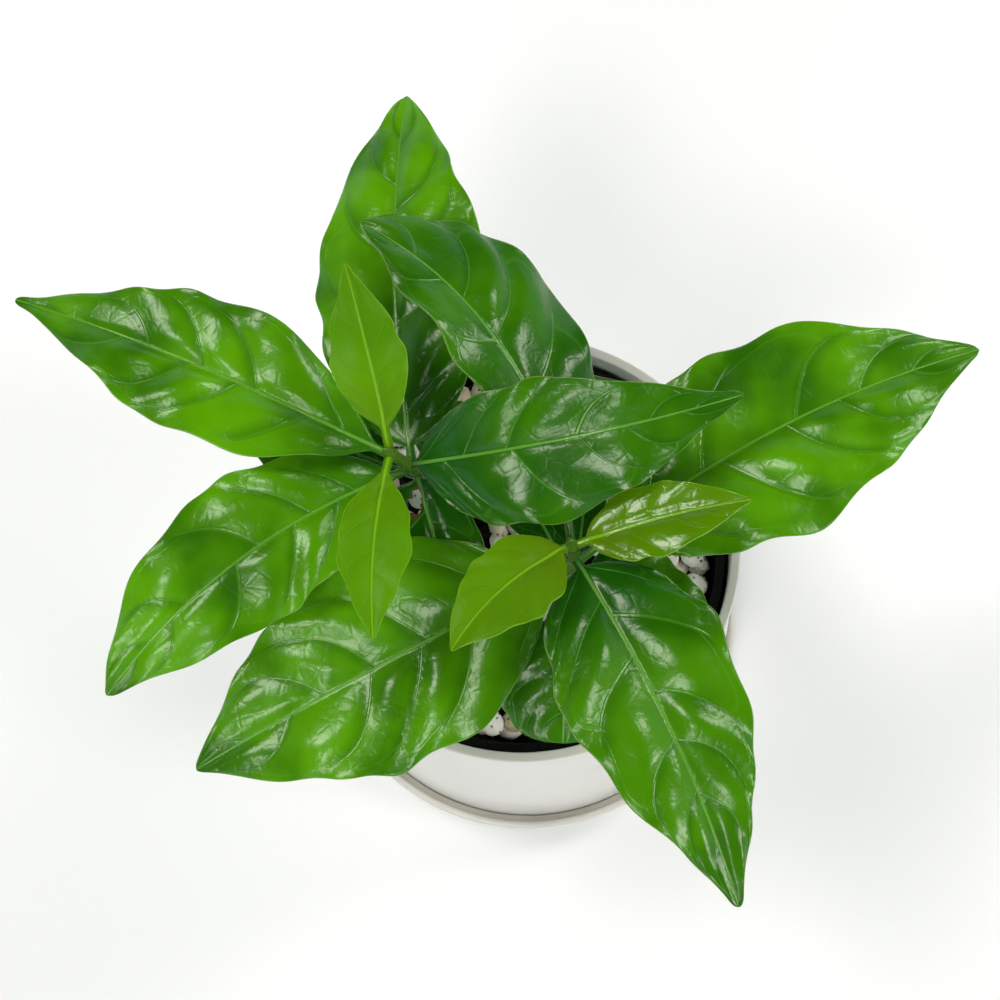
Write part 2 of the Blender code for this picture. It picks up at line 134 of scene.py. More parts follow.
# Ranges that each pebble draws from: its length as a share of the usual one, its width and
# height as shares of its length, its rise above its layer, and the reach of its worn flats
PEBBLE_LONG = (0.84, 1.14)
PEBBLE_WIDE = (0.72, 0.95)
PEBBLE_TALL = (0.62, 0.80)
PEBBLE_RISE = (-0.0002, 0.0006)
PEBBLE_FLAT_REACH = (0.66, 0.88)

# Each layer of pebbles: its height above the soil, its first and last ring in steps of the
# spacing, the share of stones left out, and how finely its stones are shaped
PEBBLE_LAYERS = ((0.0012, 0.0, 7.0, 0.0, 2), (0.0036, 0.5, 6.5, 0.12, 3))

# Leaves and stems
BLADE_HALF = 0.00018
PETIOLE_RADIUS = 0.0008
TIP_RADIUS = 0.0003
TIP_WIDTH = 0.0012
YOUNG_TIP_WIDTH = 0.0007
GROWN_LENGTH = 0.05
GROWN_RINGS = 110
SMALL_RINGS = 72
OPENING = 0.12
ARCH = 0.20
YOUNG_ARCH = 0.10
RIPPLE = 0.035
RIPPLE_TURNS = 3.4
WAVE_TURNS = 3.0
MARGIN_SCALLOP = 0.022
SIDE_COLUMNS = (0.02, 0.045, 0.08, 0.13, 0.20, 0.28, 0.37, 0.46, 0.55, 0.64, 0.73, 0.81, 0.88,
                0.94, 0.98, 1.0)
QUILT_LEVEL = 0.45
YOUNG_PUCKER = 0.45
VEIN_LEAN = 0.52
VEIN_CURL = 0.45
VEIN_UNEVEN = 0.20
VEIN_KEEL = 0.0001
VEIN_KEEL_SPREAD = 0.04
RIB_HALF = 0.00037
RIDGE_HALF = 0.0003
RIDGE_SHARE = 0.75
GROOVE_HALF = 0.0011
KEEL_HALF = 0.00055
KEEL_DEPTH = 0.0006
GRAIN_STRETCH = (1.0, 1.0, 0.18)
STEM_RINGS = 160
STEM_AROUND = 24
STEM_TOP_RADIUS = 0.0009
STEM_FOOT_RADIUS = 0.0017
NODE_SWELL = 0.0005
NODE_SPREAD = 0.0018
NODE_RIDGE = 0.00018
NODE_RIDGE_SPREAD = 0.00035
NODE_RIDGE_DROP = 0.0011
BUD_LENGTH = 0.0042
BUD_RADIUS = 0.0011
BUD_FLATNESS = 0.45
PAIR_REACH = 0.002
STALK_INSET = 0.0002
STIPULE_RADII = (0.0009, 0.00008)
STIPULE_LENGTH = 0.0022
STIPULE_THICKNESS = 0.38
STIPULE_LEAN = 0.16
STIPULE_RISE = 0.0006
STIPULE_SEAT = 0.93

# Unevenness of a blade, from broad to fine: its scale and its height
PUCKERS = ((62.0, 0.00080), (105.0, 0.00042), (190.0, 0.00012), (380.0, 0.00003))

# The hole in one lower leaf
HOLED_LEAF = "leaf_a9"
HOLE_ALONG = 0.125
HOLE_ASIDE = 0.0016
HOLE_LENGTH = 0.0054
HOLE_WIDTH = 0.0021
HOLE_TURN = -20

Stem = namedtuple("Stem", "name foot top bow nodes")

STEMS = {
    "a": Stem(
        "stem_a",
        foot=(-0.0045, 0.0100, 0.076),
        top=(-0.0214, 0.0026, 0.1645),
        bow=(-0.0005, 0.0003),
        nodes=(0.112, 0.131, 0.147, 0.1525, 0.1645),
    ),
    "b": Stem(
        "stem_b",
        foot=(0.0070, -0.0170, 0.076),
        top=(0.0082, -0.0162, 0.158),
        bow=(0.0012, 0.0002),
        nodes=(0.108, 0.125, 0.136, 0.1415, 0.150, 0.1575),
    ),
}

# height: where the leaf leaves its stem. azimuth: its direction there, in degrees from +X.
# swing: how far the azimuth turns by the tip. rise, droop: its slope at the stem and at the tip.
# length: of stalk and blade together. petiole: of the stalk alone.
# left, right: greatest half widths. widest: where they are along the blade, from 0 to 1.
# fullness: low for a blunt oval, high for a slender one. roll: tilt of the blade about its rib,
# left side up. fold: how far each half stands up from the rib. wave: height of the margin's waves.
# shade: how dark the leaf is, from 0 for one in full light to 1 for one deep in the shade.
Leaf = namedtuple(
    "Leaf",
    "name stem height azimuth swing rise droop length petiole left right widest fullness roll fold"
    " wave shade young",
)

# The letter of each leaf's stem and its number, then its fields from the height on
LEAF_ROWS = (
    ("a1", 0.1645, 95, 4, 34, 14, 0.0325, 0.0035, 0.0068, 0.0069, 0.42, 2.2, -12, 14, 0.0003, 0.0),
    ("a2", 0.1645, -108, 16, 20, -6, 0.033, 0.003, 0.0065, 0.0063, 0.44, 2.2, -3, 10, 0.0003, 0.0),
    ("a3", 0.1525, 148, 4, 16, -14, 0.078, 0.005, 0.0142, 0.0139, 0.43, 2.4, 2, 20, 0.0011, 0.05),
    ("a4", 0.1525, -10, 23, 34, -10, 0.062, 0.0015, 0.0117, 0.0145, 0.37, 2.0, 20, 16, 0.0011, 0.6),
    ("a5", 0.147, 93, -16, 10, -14, 0.074, 0.003, 0.0153, 0.0174, 0.41, 1.6, -12, 10, 0.0011, 0.05),
    ("a6", 0.147, -163, 27, 16, -22, 0.069, 0.003, 0.013, 0.0138, 0.44, 1.8, -12, 10, 0.0011, 0.1),
    ("a7", 0.112, -119, 8, 12, -16, 0.042, 0.006, 0.0095, 0.0095, 0.45, 1.9, 0, 10, 0.0006, 0.75),
    ("a8", 0.131, 156, -12, 8, -4, 0.04, 0.006, 0.0108, 0.0108, 0.48, 1.8, 0, 10, 0.0006, 0.65),
    ("a9", 0.145, -82, 4, -30, -8, 0.04, 0.0012, 0.0086, 0.0135, 0.38, 0.9, 0, 8, 0.0004, 0.8),
    ("a10", 0.131, 23, -12, 4, -4, 0.042, 0.004, 0.0112, 0.0106, 0.38, 1.5, 0, 8, 0.0006, 0.8),
    ("b1", 0.157, 13, -14, 10, 8, 0.031, 0.002, 0.0064, 0.0072, 0.39, 1.75, -4, 12, 0.0003, 0.45),
    ("b2", 0.158, -160, 33, 16, -4, 0.0275, 0.001, 0.0092, 0.0073, 0.38, 1.7, 12, 14, 0.0003, 0.38),
    ("b3", 0.15, -65, -14, 12, -20, 0.0675, 0.0018, 0.0164, 0.0168, 0.35, 1.75, -4, 18, 0.0011, 0.48),
    ("b4", 0.15, 88, 56, 20, -4, 0.0735, 0.007, 0.0089, 0.0172, 0.54, 1.75, 24, 10, 0.0011, 0.65),
    ("b5", 0.142, 31, -20, 16, -10, 0.084, 0.006, 0.0183, 0.0202, 0.44, 2.05, 3, 18, 0.0011, 0.08),
    ("b6", 0.14, -161, 3, 0, -14, 0.0775, 0.005, 0.02, 0.0206, 0.42, 1.8, -6, 14, 0.0011, 0.15),
    ("b7", 0.125, -104, 6, 6, -30, 0.0285, 0.004, 0.0112, 0.0128, 0.6, 1.15, 0, 8, 0.0006, 0.65),
    ("b8", 0.136, -28, -8, 2, -14, 0.027, 0.001, 0.0094, 0.01, 0.35, 1.0, 4, 10, 0.0006, 0.55),
    ("b9", 0.125, 76, 3, 6, -6, 0.04, 0.005, 0.0098, 0.0098, 0.5, 1.5, 0, 10, 0.0005, 0.8),
    ("b10", 0.108, 96, 58, 6, -2, 0.05, 0.005, 0.0076, 0.0088, 0.64, 1.5, 0, 8, 0.0004, 0.85),
)

# The two uppermost leaves of each stem
YOUNG = ("a1", "a2", "b1", "b2")
LEAVES = [
    Leaf(f"leaf_{name}", STEMS[name[0]], *fields, name in YOUNG) for name, *fields in LEAF_ROWS
]

# Young leaves that have opened enough to shine
SHINY_YOUNG = ("leaf_b1",)

# Colours of a leaf beside those in its settings; its shade colour is that of the painted shade
TORN_COLOR = (0.10, 0.05, 0.015)
MATURE_COLORS = {
    "shade": (0.009, 0.085, 0.0005),
    "vein": (0.12, 0.38, 0.02),
    "rib": (0.12, 0.34, 0.03),
    "margin": (0.24, 0.40, 0.06),
    "under": (0.13, 0.27, 0.055),
}
YOUNG_COLORS = {
    "deep": (0.074, 0.230, 0.0005),
    "shade": (0.085, 0.175, 0.0005),
    "vein": (0.13, 0.33, 0.003),
    "rib": (0.18, 0.42, 0.008),
    "margin": (0.22, 0.42, 0.01),
    "under": (0.22, 0.38, 0.06),
}

# Skins of the leaves: least roughness, specular level, and painted shade in the valleys by the veins
LEAF_SKINS = {
    "mature_leaf_skin": (0.17, 0.38, 0.46),
    "young_leaf_skin": (0.30, 0.10, 0.16),
    "shiny_young_leaf_skin": (0.12, 0.45, 0.25),
}

# Camera, floor and room
LENS = 79.2
SENSOR_WIDTH = 36.0
CAMERA_PLACE = (-0.0033, -0.1034, 0.5343)
CAMERA_TILT = 14.44
CAMERA_ROLL = -6.71
FLOOR_SIZE = 3.0
CEILING_COLOR = (0.003, 0.004, 0.004)

# Bright windows round the room: the direction of each, half its width and height in degrees,
# and its share of the brightness
WINDOWS = (
    ((-0.38, 0.18, 0.90), 15, 13, 1.0),
    ((-0.24, -0.44, 0.87), 11, 10, 1.0),
    ((-0.28, -0.71, 0.64), 9, 9, 0.8),
    ((0.62, 0.27, 0.74), 12, 12, 0.9),
    ((0.77, -0.31, 0.56), 13, 11, 1.0),
)


class Graph:
    """Adds shader nodes to a tree and links them."""

    def __init__(self, tree):
        self.tree = tree
        self.coordinates = None

    def node(self, kind, inputs=None, **settings):
        made = self.tree.nodes.new(kind)
        for name, value in settings.items():
            setattr(made, name, value)
        for name, value in (inputs or {}).items():
            self.feed(made.inputs[name], value)
        return made

    def feed(self, socket, value):
        if isinstance(value, bpy.types.NodeSocket):
            self.tree.links.new(value, socket)
        elif value is not None:
            socket.default_value = rgba(value) if socket.type == "RGBA" else value

    def fill(self, node, **values):
        """Feeds a node's inputs by their names, with _ for each space."""
        for name, value in values.items():
            self.feed(node.inputs[name.replace("_", " ")], value)
        return node

    def finish(self, **values):
        """Feeds the material's Principled shader."""
        self.fill(self.tree.nodes["Principled BSDF"], **values)

    def group(self, name, maker, **values):
        """Places a shared group, and gives its outputs."""
        made = self.node("ShaderNodeGroup", node_tree=shared(name, maker))
        return self.fill(made, **values).outputs

    def math(self, operation, first, second=None):
        return self.node("ShaderNodeMath", {0: first, 1: second}, operation=operation).outputs[0]

    def plus(self, first, second):
        return self.math("ADD", first, second)

    def minus(self, first, second):
        return self.math("SUBTRACT", first, second)

    def times(self, first, second):
        return self.math("MULTIPLY", first, second)

    def fade(self, value, start, end):
        """1 where the value is at the start and 0 from the end on, or the other way round."""
        made = self.node(
            "ShaderNodeMapRange",
            {"Value": value, "From Min": start, "From Max": end, "To Min": 1.0, "To Max": 0.0},
            interpolation_type="SMOOTHSTEP",
        )
        return made.outputs["Result"]

    def mix(self, factor, first, second, blend="MIX"):
        made = self.node("ShaderNodeMix", data_type="RGBA", blend_type=blend)
        self.feed(made.inputs["Factor"], factor)
        self.feed(made.inputs[6], first)
        self.feed(made.inputs[7], second)
        return made.outputs[2]

    def place(self):
        """Object coordinates, from one node for the whole tree."""
        self.coordinates = self.coordinates or self.node("ShaderNodeTexCoord")
        return self.coordinates.outputs["Object"]

    def noise(self, scale, detail=3.0, roughness=0.5, vector=None):
        made = self.node("ShaderNodeTexNoise", {
            "Vector": vector or self.place(), "Scale": scale, "Detail": detail,
            "Roughness": roughness,
        })
        return made.outputs["Fac"]

    def cells(self, scale, feature="F1"):
        """Distance from the middles of scattered cells, or from their edges."""
        inputs = {"Vector": self.place(), "Scale": scale}
        return self.node("ShaderNodeTexVoronoi", inputs, feature=feature).outputs["Distance"]

    def attribute(self, name):
        return self.node("ShaderNodeAttribute", attribute_name=name)

    def parts(self, vector):
        made = self.node("ShaderNodeSeparateXYZ", {"Vector": vector})
        return made.outputs["X"], made.outputs["Y"], made.outputs["Z"]

    def bump(self, height, strength, distance):
        made = self.node(
            "ShaderNodeBump", {"Height": height, "Strength": strength, "Distance": distance}
        )
        return made.outputs["Normal"]


def rgba(value):
    """A colour with full alpha, and any other value as it is."""
    return value if isinstance(value, float) or len(value) == 4 else (*value, 1.0)


def new_material(name):
    """A material and the graph of its nodes."""
    material = bpy.data.materials.new(name)
    material.use_nodes = True
    return material, Graph(material.node_tree)


def new_group(name, inputs, outputs):
    """An empty shader group, its graph, and its input and output nodes."""
    group = bpy.data.node_groups.new(name, "ShaderNodeTree")
    for socket, value in inputs.items():
        kind = "NodeSocketColor" if isinstance(value, tuple) else "NodeSocketFloat"
        made = group.interface.new_socket(name=socket, in_out="INPUT", socket_type=kind)
        made.default_value = rgba(value)
    for socket in outputs:
        kind = "NodeSocketColor" if socket == "Color" else "NodeSocketFloat"
        group.interface.new_socket(name=socket, in_out="OUTPUT", socket_type=kind)
    graph = Graph(group)
    return group, graph, graph.node("NodeGroupInput"), graph.node("NodeGroupOutput")


def shared(name, maker, *details):
    """The node group or material of that name, made once."""
    for library in (bpy.data.node_groups, bpy.data.materials):
        if name in library:
            return library[name]
    return maker(*details)


def within(value, low=0.0, high=1.0):
    return min(max(value, low), high)


def smooth_step(value):
    value = within(value)
    return value * value * (3.0 - 2.0 * value)


def bell(distance, spread):
    """1 at no distance, and less the farther away."""
    return math.exp(-((distance / spread) ** 2))


def arc(center_x, center_z, radius, start, end, steps):
    """Points of an arc in the XZ plane, from one angle to another in degrees."""
    angles = np.radians(np.linspace(start, end, steps + 1))
    return [(center_x + radius * math.cos(a), center_z + radius * math.sin(a)) for a in angles]


def link_object(name, data):
    obj = bpy.data.objects.new(name, data)
    bpy.context.scene.collection.objects.link(obj)
    return obj


def mesh_object(name, bm, material):
    """Makes an object of one material from a bmesh, which it frees."""
    mesh = bpy.data.meshes.new(name)
    bm.to_mesh(mesh)
    bm.free()
    mesh.materials.append(material)
    return link_object(name, mesh)


def finish_piece(name, bm, material, node):
    """Makes the piece's object from its bmesh, parents it to the root body and hides its part from
    model.glb.
    """
    obj = mesh_object(name, bm, material)
    obj.data.shade_smooth()
    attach(obj, "root")
    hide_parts(node)
    return obj


def face_outwards(bm):
    """Points the faces of a closed mesh outwards, also where it is as thin as a blade."""
    bmesh.ops.recalc_face_normals(bm, faces=bm.faces)
    if bm.calc_volume(signed=True) < 0.0:
        bmesh.ops.reverse_faces(bm, faces=bm.faces)


def turn_profile(profile, closed_loop):
    """Spins a profile, given as radius and height, once round the pot's axis."""
    bm = bmesh.new()
    verts = [bm.verts.new((x, 0.0, z)) for x, z in profile]
    edges = [bm.edges.new(pair) for pair in zip(verts, verts[1:])]
    if closed_loop:
        edges.append(bm.edges.new((verts[-1], verts[0])))
    bmesh.ops.spin(
        bm,
        geom=verts + edges,
        axis=(0.0, 0.0, 1.0),
        cent=(0.0, 0.0, 0.0),
        angle=math.tau,
        steps=TURN_STEPS,
        use_merge=True,
    )
    bmesh.ops.remove_doubles(bm, verts=bm.verts, dist=0.000001)
    face_outwards(bm)
    return bm


def closed_tube(bm, rings, around):
    """Makes a capped tube of quads, and gives each vertex's ring and place round the ring."""
    bmesh.ops.create_cone(
        bm, cap_ends=True, cap_tris=False, segments=around, radius1=1.0, radius2=1.0, depth=1.0
    )
    upright = [e for e in bm.edges if abs(e.verts[0].co.z - e.verts[1].co.z) > 0.5]
    bmesh.ops.subdivide_edges(bm, edges=upright, cuts=rings - 2, use_grid_fill=True)
    places = {}
    for vert in bm.verts:
        turn = math.atan2(vert.co.y, vert.co.x) / math.tau
        ring = round((vert.co.z + 0.5) * (rings - 1))
        places[vert] = (ring, math.floor(turn * around + 0.25) % around)
    return places


def mottle_group():
    """Soft patches of two tones and a fine grain, for glaze, plastic and soil."""
    group, graph, entry, leave = new_group(
        "mottle",
        {"Light": (1.0, 1.0, 1.0), "Dark": (0.5, 0.5, 0.5), "Patch Scale": 60.0,
         "Grain Scale": 900.0},
        ("Color", "Patch", "Grain"),
    )
    patch = graph.noise(entry.outputs["Patch Scale"], 4.0, 0.6)
    grain = graph.noise(entry.outputs["Grain Scale"], 2.0)
    tone = graph.fade(patch, 0.35, 0.68)
    color = graph.mix(tone, entry.outputs["Light"], entry.outputs["Dark"])
    graph.fill(leave, Color=color, Patch=patch, Grain=grain)
    return group


def leaf_pattern_group():
    """Where the rib, the side veins, the margin, the underside and a torn hole are on a leaf, and
    where painted shade darkens the valleys beside the veins.
    """
    group, graph, _, leave = new_group(
        "leaf_pattern", {}, ("Rib", "Vein", "Valley", "Margin", "Under", "Torn", "Height")
    )
    rib_units, edge, phase = graph.parts(graph.attribute("leaf_lines").outputs["Vector"])
    under, far, torn = graph.parts(graph.attribute("leaf_sides").outputs["Vector"])
    rib = graph.fade(rib_units, 0.55, 1.1)
    share = graph.math("FRACT", phase)
    from_vein = graph.minus(0.5, graph.math("ABSOLUTE", graph.minus(share, 0.5)))
    inside = graph.fade(far, 0.78, 0.92)
    vein = graph.times(graph.fade(from_vein, 0.008, 0.034), inside)
    bow = graph.math("SINE", graph.times(share, math.pi))
    from_loop = graph.minus(far, graph.plus(0.74, graph.times(bow, 0.14)))
    loop = graph.fade(graph.math("ABSOLUTE", from_loop), 0.006, 0.024)
    vein = graph.math("MAXIMUM", vein, graph.times(loop, 0.4))
    # Painted shade in the valleys by each side vein, wider on the vein's tip side
    tip_side = graph.fade(share, 0.0, 0.30)
    base_side = graph.fade(graph.minus(1.0, share), 0.0, 0.07)
    valley_shade = graph.times(graph.math("MAXIMUM", tip_side, base_side), inside)
    cells = graph.fade(graph.cells(330.0, "DISTANCE_TO_EDGE"), 0.0, 0.16)
    crease = graph.noise(520.0, 3.0, 0.6)
    fine = graph.noise(1250.0, 2.0)
    swell = graph.noise(190.0, 2.0)
    height = graph.times(crease, 0.25)
    for part, rise in ((fine, 0.07), (swell, 0.40), (cells, -0.07), (vein, -0.22), (rib, 0.5)):
        height = graph.plus(height, graph.times(part, rise))
    graph.fill(leave, Rib=rib, Vein=vein, Valley=valley_shade, Margin=graph.fade(edge, 0.06, 0.18),
               Under=under, Torn=graph.fade(torn, 1.05, 1.4), Height=height)
    return group


def leaf_material(name, colors):
    """A glossy leaf: pale rib and veins, thin light margin, dull underside, and painted shade."""
    gloss, shine, valley_shade = LEAF_SKINS[name]
    material, graph = new_material(name)
    pattern = graph.group("leaf_pattern", leaf_pattern_group)
    patch = graph.fade(graph.noise(42.0, 3.0, 0.55), 0.32, 0.66)
    color = graph.mix(patch, colors["light"], colors["deep"])
    # Painted shade: each leaf darkened by how deep in the shade it lies, and more towards its base
    color = graph.mix(graph.attribute("leaf_tint").outputs["Fac"], color, colors["shade"])
    # Painted shade in the valleys by the veins, then the pale veins, rib and margin
    for part, share, paint in (("Valley", valley_shade, "shade"), ("Vein", 0.24, "vein"),
                               ("Rib", 0.8, "rib"), ("Margin", 0.5, "margin")):
        color = graph.mix(graph.times(pattern[part], share), color, colors[paint])
    lines = graph.math("MAXIMUM", pattern["Rib"], pattern["Vein"])
    below = graph.mix(lines, colors["under"], colors["rib"])
    color = graph.mix(pattern["Under"], color, below)
    rough = graph.plus(graph.times(graph.noise(240.0, 3.0, 0.6), 0.10), gloss)
    graph.finish(
        Base_Color=graph.mix(pattern["Torn"], color, TORN_COLOR),
        Roughness=graph.plus(rough, graph.times(pattern["Under"], 0.34)),
        Normal=graph.bump(pattern["Height"], 0.55, 0.0004),
        Specular_IOR_Level=shine,
        Specular_Tint=(0.94, 1.0, 0.88),
    )
    return material


def stem_material(settings):
    """Green young wood that turns to pale brown bark towards the soil."""
    material, graph = new_material("stem_bark")
    _, _, height = graph.parts(graph.place())
    stretched = graph.node("ShaderNodeMapping", {"Vector": graph.place(), "Scale": GRAIN_STRETCH})
    grain = graph.noise(900.0, 4.0, 0.6, stretched.outputs["Vector"])
    worn = graph.noise(160.0, 3.0, 0.6)
    bark = graph.fade(graph.plus(height, graph.times(worn, 0.03)), 0.112, 0.140)
    green = graph.mix(grain, settings.young_wood, (0.05, 0.13, 0.008))
    brown = graph.mix(grain, settings.old_bark, (0.09, 0.055, 0.028))
    graph.finish(
        Base_Color=graph.mix(bark, green, brown),
        Roughness=graph.plus(0.34, graph.times(bark, 0.4)),
        Normal=graph.bump(grain, 0.6, 0.0003),
    )
    return material


def glaze_material(settings):
    """Warm off-white satin glaze, faintly mottled, with a few small specks."""
    material, graph = new_material("off_white_glaze")
    color = settings.glaze_color
    tone = graph.group("mottle", mottle_group, Light=color, Patch_Scale=55.0, Grain_Scale=1400.0,
                       Dark=tuple(0.95 * part for part in color))
    dots = graph.fade(graph.cells(260.0), 0.035, 0.075)
    rare = graph.fade(graph.noise(90.0, 2.0), 0.60, 0.52)
    dots = graph.times(dots, graph.minus(1.0, rare))
    peel = graph.plus(graph.times(tone["Grain"], 0.25), graph.noise(130.0, 2.0))
    graph.finish(
        Base_Color=graph.mix(graph.times(dots, 0.35), tone["Color"], (0.42, 0.38, 0.30)),
        Roughness=graph.plus(graph.times(tone["Patch"], 0.16), settings.glaze_roughness),
        Normal=graph.bump(peel, 0.18, 0.0005),
        Coat_Weight=0.2,
        Coat_Roughness=0.2,
    )
    return material


def plastic_material(settings):
    """Matte black plastic with dust on it."""
    material, graph = new_material("black_plastic")
    tone = graph.group("mottle", mottle_group, Light=settings.plastic_color,
                       Dark=(0.010, 0.009, 0.008), Patch_Scale=120.0, Grain_Scale=1800.0)
    graph.finish(
        Base_Color=tone["Color"],
        Roughness=graph.plus(graph.times(tone["Patch"], 0.3), 0.5),
        Normal=graph.bump(tone["Grain"], 0.3, 0.0002),
        Specular_IOR_Level=0.15,
    )
    return material


def soil_material(settings):
    """Dark crumbly soil."""
    material, graph = new_material("potting_soil")
    tone = graph.group("mottle", mottle_group, Light=settings.soil_color,
                       Dark=(0.009, 0.006, 0.004), Patch_Scale=420.0, Grain_Scale=2200.0)
    crumbs = graph.plus(tone["Patch"], tone["Grain"])
    graph.finish(
        Base_Color=tone["Color"], Roughness=0.95, Normal=graph.bump(crumbs, 0.9, 0.0008)
    )
    return material


def pebble_material(settings):
    """Chalky pale stone, each pebble with its own tone, pitted with dark specks."""
    material, graph = new_material("pale_pebble")
    own = graph.attribute("pebble_tone").outputs["Fac"]
    ramp = graph.node("ShaderNodeValToRGB", {"Fac": own})
    stops = ((0.0, settings.pebble_color), (0.60, (0.86, 0.80, 0.73)), (0.82, (0.58, 0.50, 0.34)),
             (1.0, (0.36, 0.29, 0.17)))
    while len(ramp.color_ramp.elements) < len(stops):
        ramp.color_ramp.elements.new(0.5)
    for element, (at, color) in zip(ramp.color_ramp.elements, stops):
        element.position = at
        element.color = rgba(color)
    cloud = graph.fade(graph.noise(260.0, 4.0, 0.6), 0.38, 0.66)
    color = graph.mix(graph.times(cloud, 0.22), ramp.outputs["Color"], (0.54, 0.48, 0.41))
    ragged = graph.times(graph.noise(1700.0, 2.0), 0.26)
    deep = graph.fade(graph.plus(graph.cells(620.0), ragged), 0.25, 0.38)
    rare = graph.fade(graph.noise(300.0, 2.0), 0.62, 0.50)
    deep = graph.times(deep, graph.minus(1.0, rare))
    grain = graph.minus(graph.noise(900.0, 4.0, 0.65), deep)
    graph.finish(
        Base_Color=graph.mix(graph.times(deep, 0.85), color, (0.03, 0.025, 0.022)),
        Roughness=0.78,
        Normal=graph.bump(grain, 0.5, 0.0004),
    )
    return material


def saucer_profile():
    """The saucer, from the middle of its floor over the rim to the middle of its underside."""
    rim = SAUCER_WALL / 2
    throat = SAUCER_THROAT_RADIUS
    foot = SAUCER_FOOT_RADIUS
    corner = SAUCER_CORNER
    floor_radius = foot - SAUCER_WALL
    profile = [(0.0, SAUCER_FLOOR), (floor_radius * 0.5, SAUCER_FLOOR)]
    profile += arc(floor_radius - corner, SAUCER_FLOOR + corner, corner, -90, -40, 5)
    profile += [(throat - inset, SAUCER_HEIGHT * share) for inset, share in SAUCER_INSIDE]
    profile += [(throat + out, SAUCER_THROAT_HEIGHT - down) for out, down in SAUCER_EDGE]
    profile += arc(SAUCER_RIM_RADIUS - rim, SAUCER_HEIGHT - rim, rim, 180, 0, 12)
    profile.append((foot + SAUCER_FLARE[0], SAUCER_FLARE[1]))
    profile += arc(foot - corner / 2, corner, corner, -10, -90, 5)
    profile += [(foot - inset, height) for inset, height in SAUCER_UNDERSIDE]
    profile.append((0.0, SAUCER_UNDERSIDE[-1][1]))
    return profile


def pot_profile():
    """The cover pot, from the drain hole up the inside, over the lip and down the outside."""
    foot = SAUCER_FLOOR + GAP
    floor = foot + POT_FLOOR
    under_lip = POT_HEIGHT - POT_LIP_HEIGHT
    edge, neck_edge = POT_EDGE, POT_NECK_EDGE
    corner, rounding = POT_FLOOR_CORNER, POT_FOOT_ROUNDING
    profile = [(POT_DRAIN_RADIUS, floor)]
    profile += arc(POT_INNER_RADIUS - corner, floor + corner, corner, -90, 0, 8)
    profile.append((POT_INNER_RADIUS, POT_HEIGHT * 0.5))
    profile += arc(POT_INNER_RADIUS + edge, POT_HEIGHT - edge, edge, 180, 90, 7)
    profile += arc(POT_LIP_RADIUS - edge, POT_HEIGHT - edge, edge, 90, 0, 7)
    profile += arc(POT_LIP_RADIUS - edge, under_lip + edge, edge, 0, -60, 4)
    profile += arc(
        POT_NECK_RADIUS + neck_edge, under_lip - POT_NECK_DROP, neck_edge, 130, 180, 3
    )
    for share in np.linspace(0.1, 1.0, 10):
        radius = POT_NECK_RADIUS + (POT_BODY_RADIUS - POT_NECK_RADIUS) * smooth_step(share)
        down = (POT_NECK_END - POT_BODY_START) * share
        profile.append((radius, POT_HEIGHT * (POT_NECK_END - down)))
    profile += arc(POT_BODY_RADIUS - rounding, foot + rounding, rounding, 0, -80, 10)
    profile += [(POT_BODY_RADIUS - rounding - POT_FOOT_INSET, foot), (POT_DRAIN_RADIUS, foot)]
    return profile


def nursery_floor():
    return SAUCER_FLOOR + GAP + POT_FLOOR + GAP


def nursery_profile():
    """The nursery pot, in the same order as the cover pot."""
    foot = nursery_floor()
    floor = foot + NURSERY_WALL
    top = NURSERY_RIM_HEIGHT
    inner_top = NURSERY_TOP_RADIUS - NURSERY_WALL
    outer = NURSERY_TOP_RADIUS + NURSERY_LIP
    bead = NURSERY_BEAD
    profile = [(NURSERY_DRAIN_RADIUS, floor), (NURSERY_FOOT_RADIUS - NURSERY_WALL, floor)]
    profile.append((inner_top, top - NURSERY_THROAT))
    profile += arc(inner_top + bead, top - bead, bead, 180, 90, 5)
    profile += arc(outer - bead, top - bead, bead, 90, 0, 5)
    profile += [(outer - inset, top - down) for inset, down in NURSERY_RIM]
    profile.append((NURSERY_TOP_RADIUS, top - NURSERY_RIM_DEPTH))
    profile.append((NURSERY_FOOT_RADIUS, foot + NURSERY_FOOT_EDGE))
    profile += [(NURSERY_FOOT_RADIUS - NURSERY_FOOT_EDGE, foot), (NURSERY_DRAIN_RADIUS, foot)]
    return profile


def nursery_inner_radius(height):
    """Inside radius of the nursery pot's tapering wall."""
    foot = nursery_floor() + NURSERY_WALL
    share = (height - foot) / (NURSERY_RIM_HEIGHT - NURSERY_THROAT - foot)
    return NURSERY_FOOT_RADIUS - NURSERY_WALL + share * (NURSERY_TOP_RADIUS - NURSERY_FOOT_RADIUS)


def make_soil(material):
    """The root ball, its top crumbled by noise."""
    floor = nursery_floor() + NURSERY_WALL + GAP
    top_radius = nursery_inner_radius(SOIL_TOP) - GAP - SOIL_SLACK
    flat = top_radius * SOIL_FLAT_SHARE
    profile = [(flat * k / SOIL_STEPS, SOIL_TOP) for k in range(SOIL_STEPS + 1)]
    profile += arc(top_radius - SOIL_DOME, SOIL_TOP - SOIL_DOME, SOIL_DOME, 60, 0, 4)
    profile += [(nursery_inner_radius(floor) - GAP - SOIL_SLACK, floor), (0.0, floor)]
    bm = turn_profile(profile, False)
    for vert in bm.verts:
        if vert.co.z > SOIL_TOP - 0.5 * SOIL_DOME:
            crumb = noise.noise(vert.co * 420.0) + 0.6 * noise.noise(vert.co * 1100.0)
            vert.co.z -= SOIL_CRUMB * (0.6 + crumb)
    return finish_piece("root_ball", bm, material, "soil")


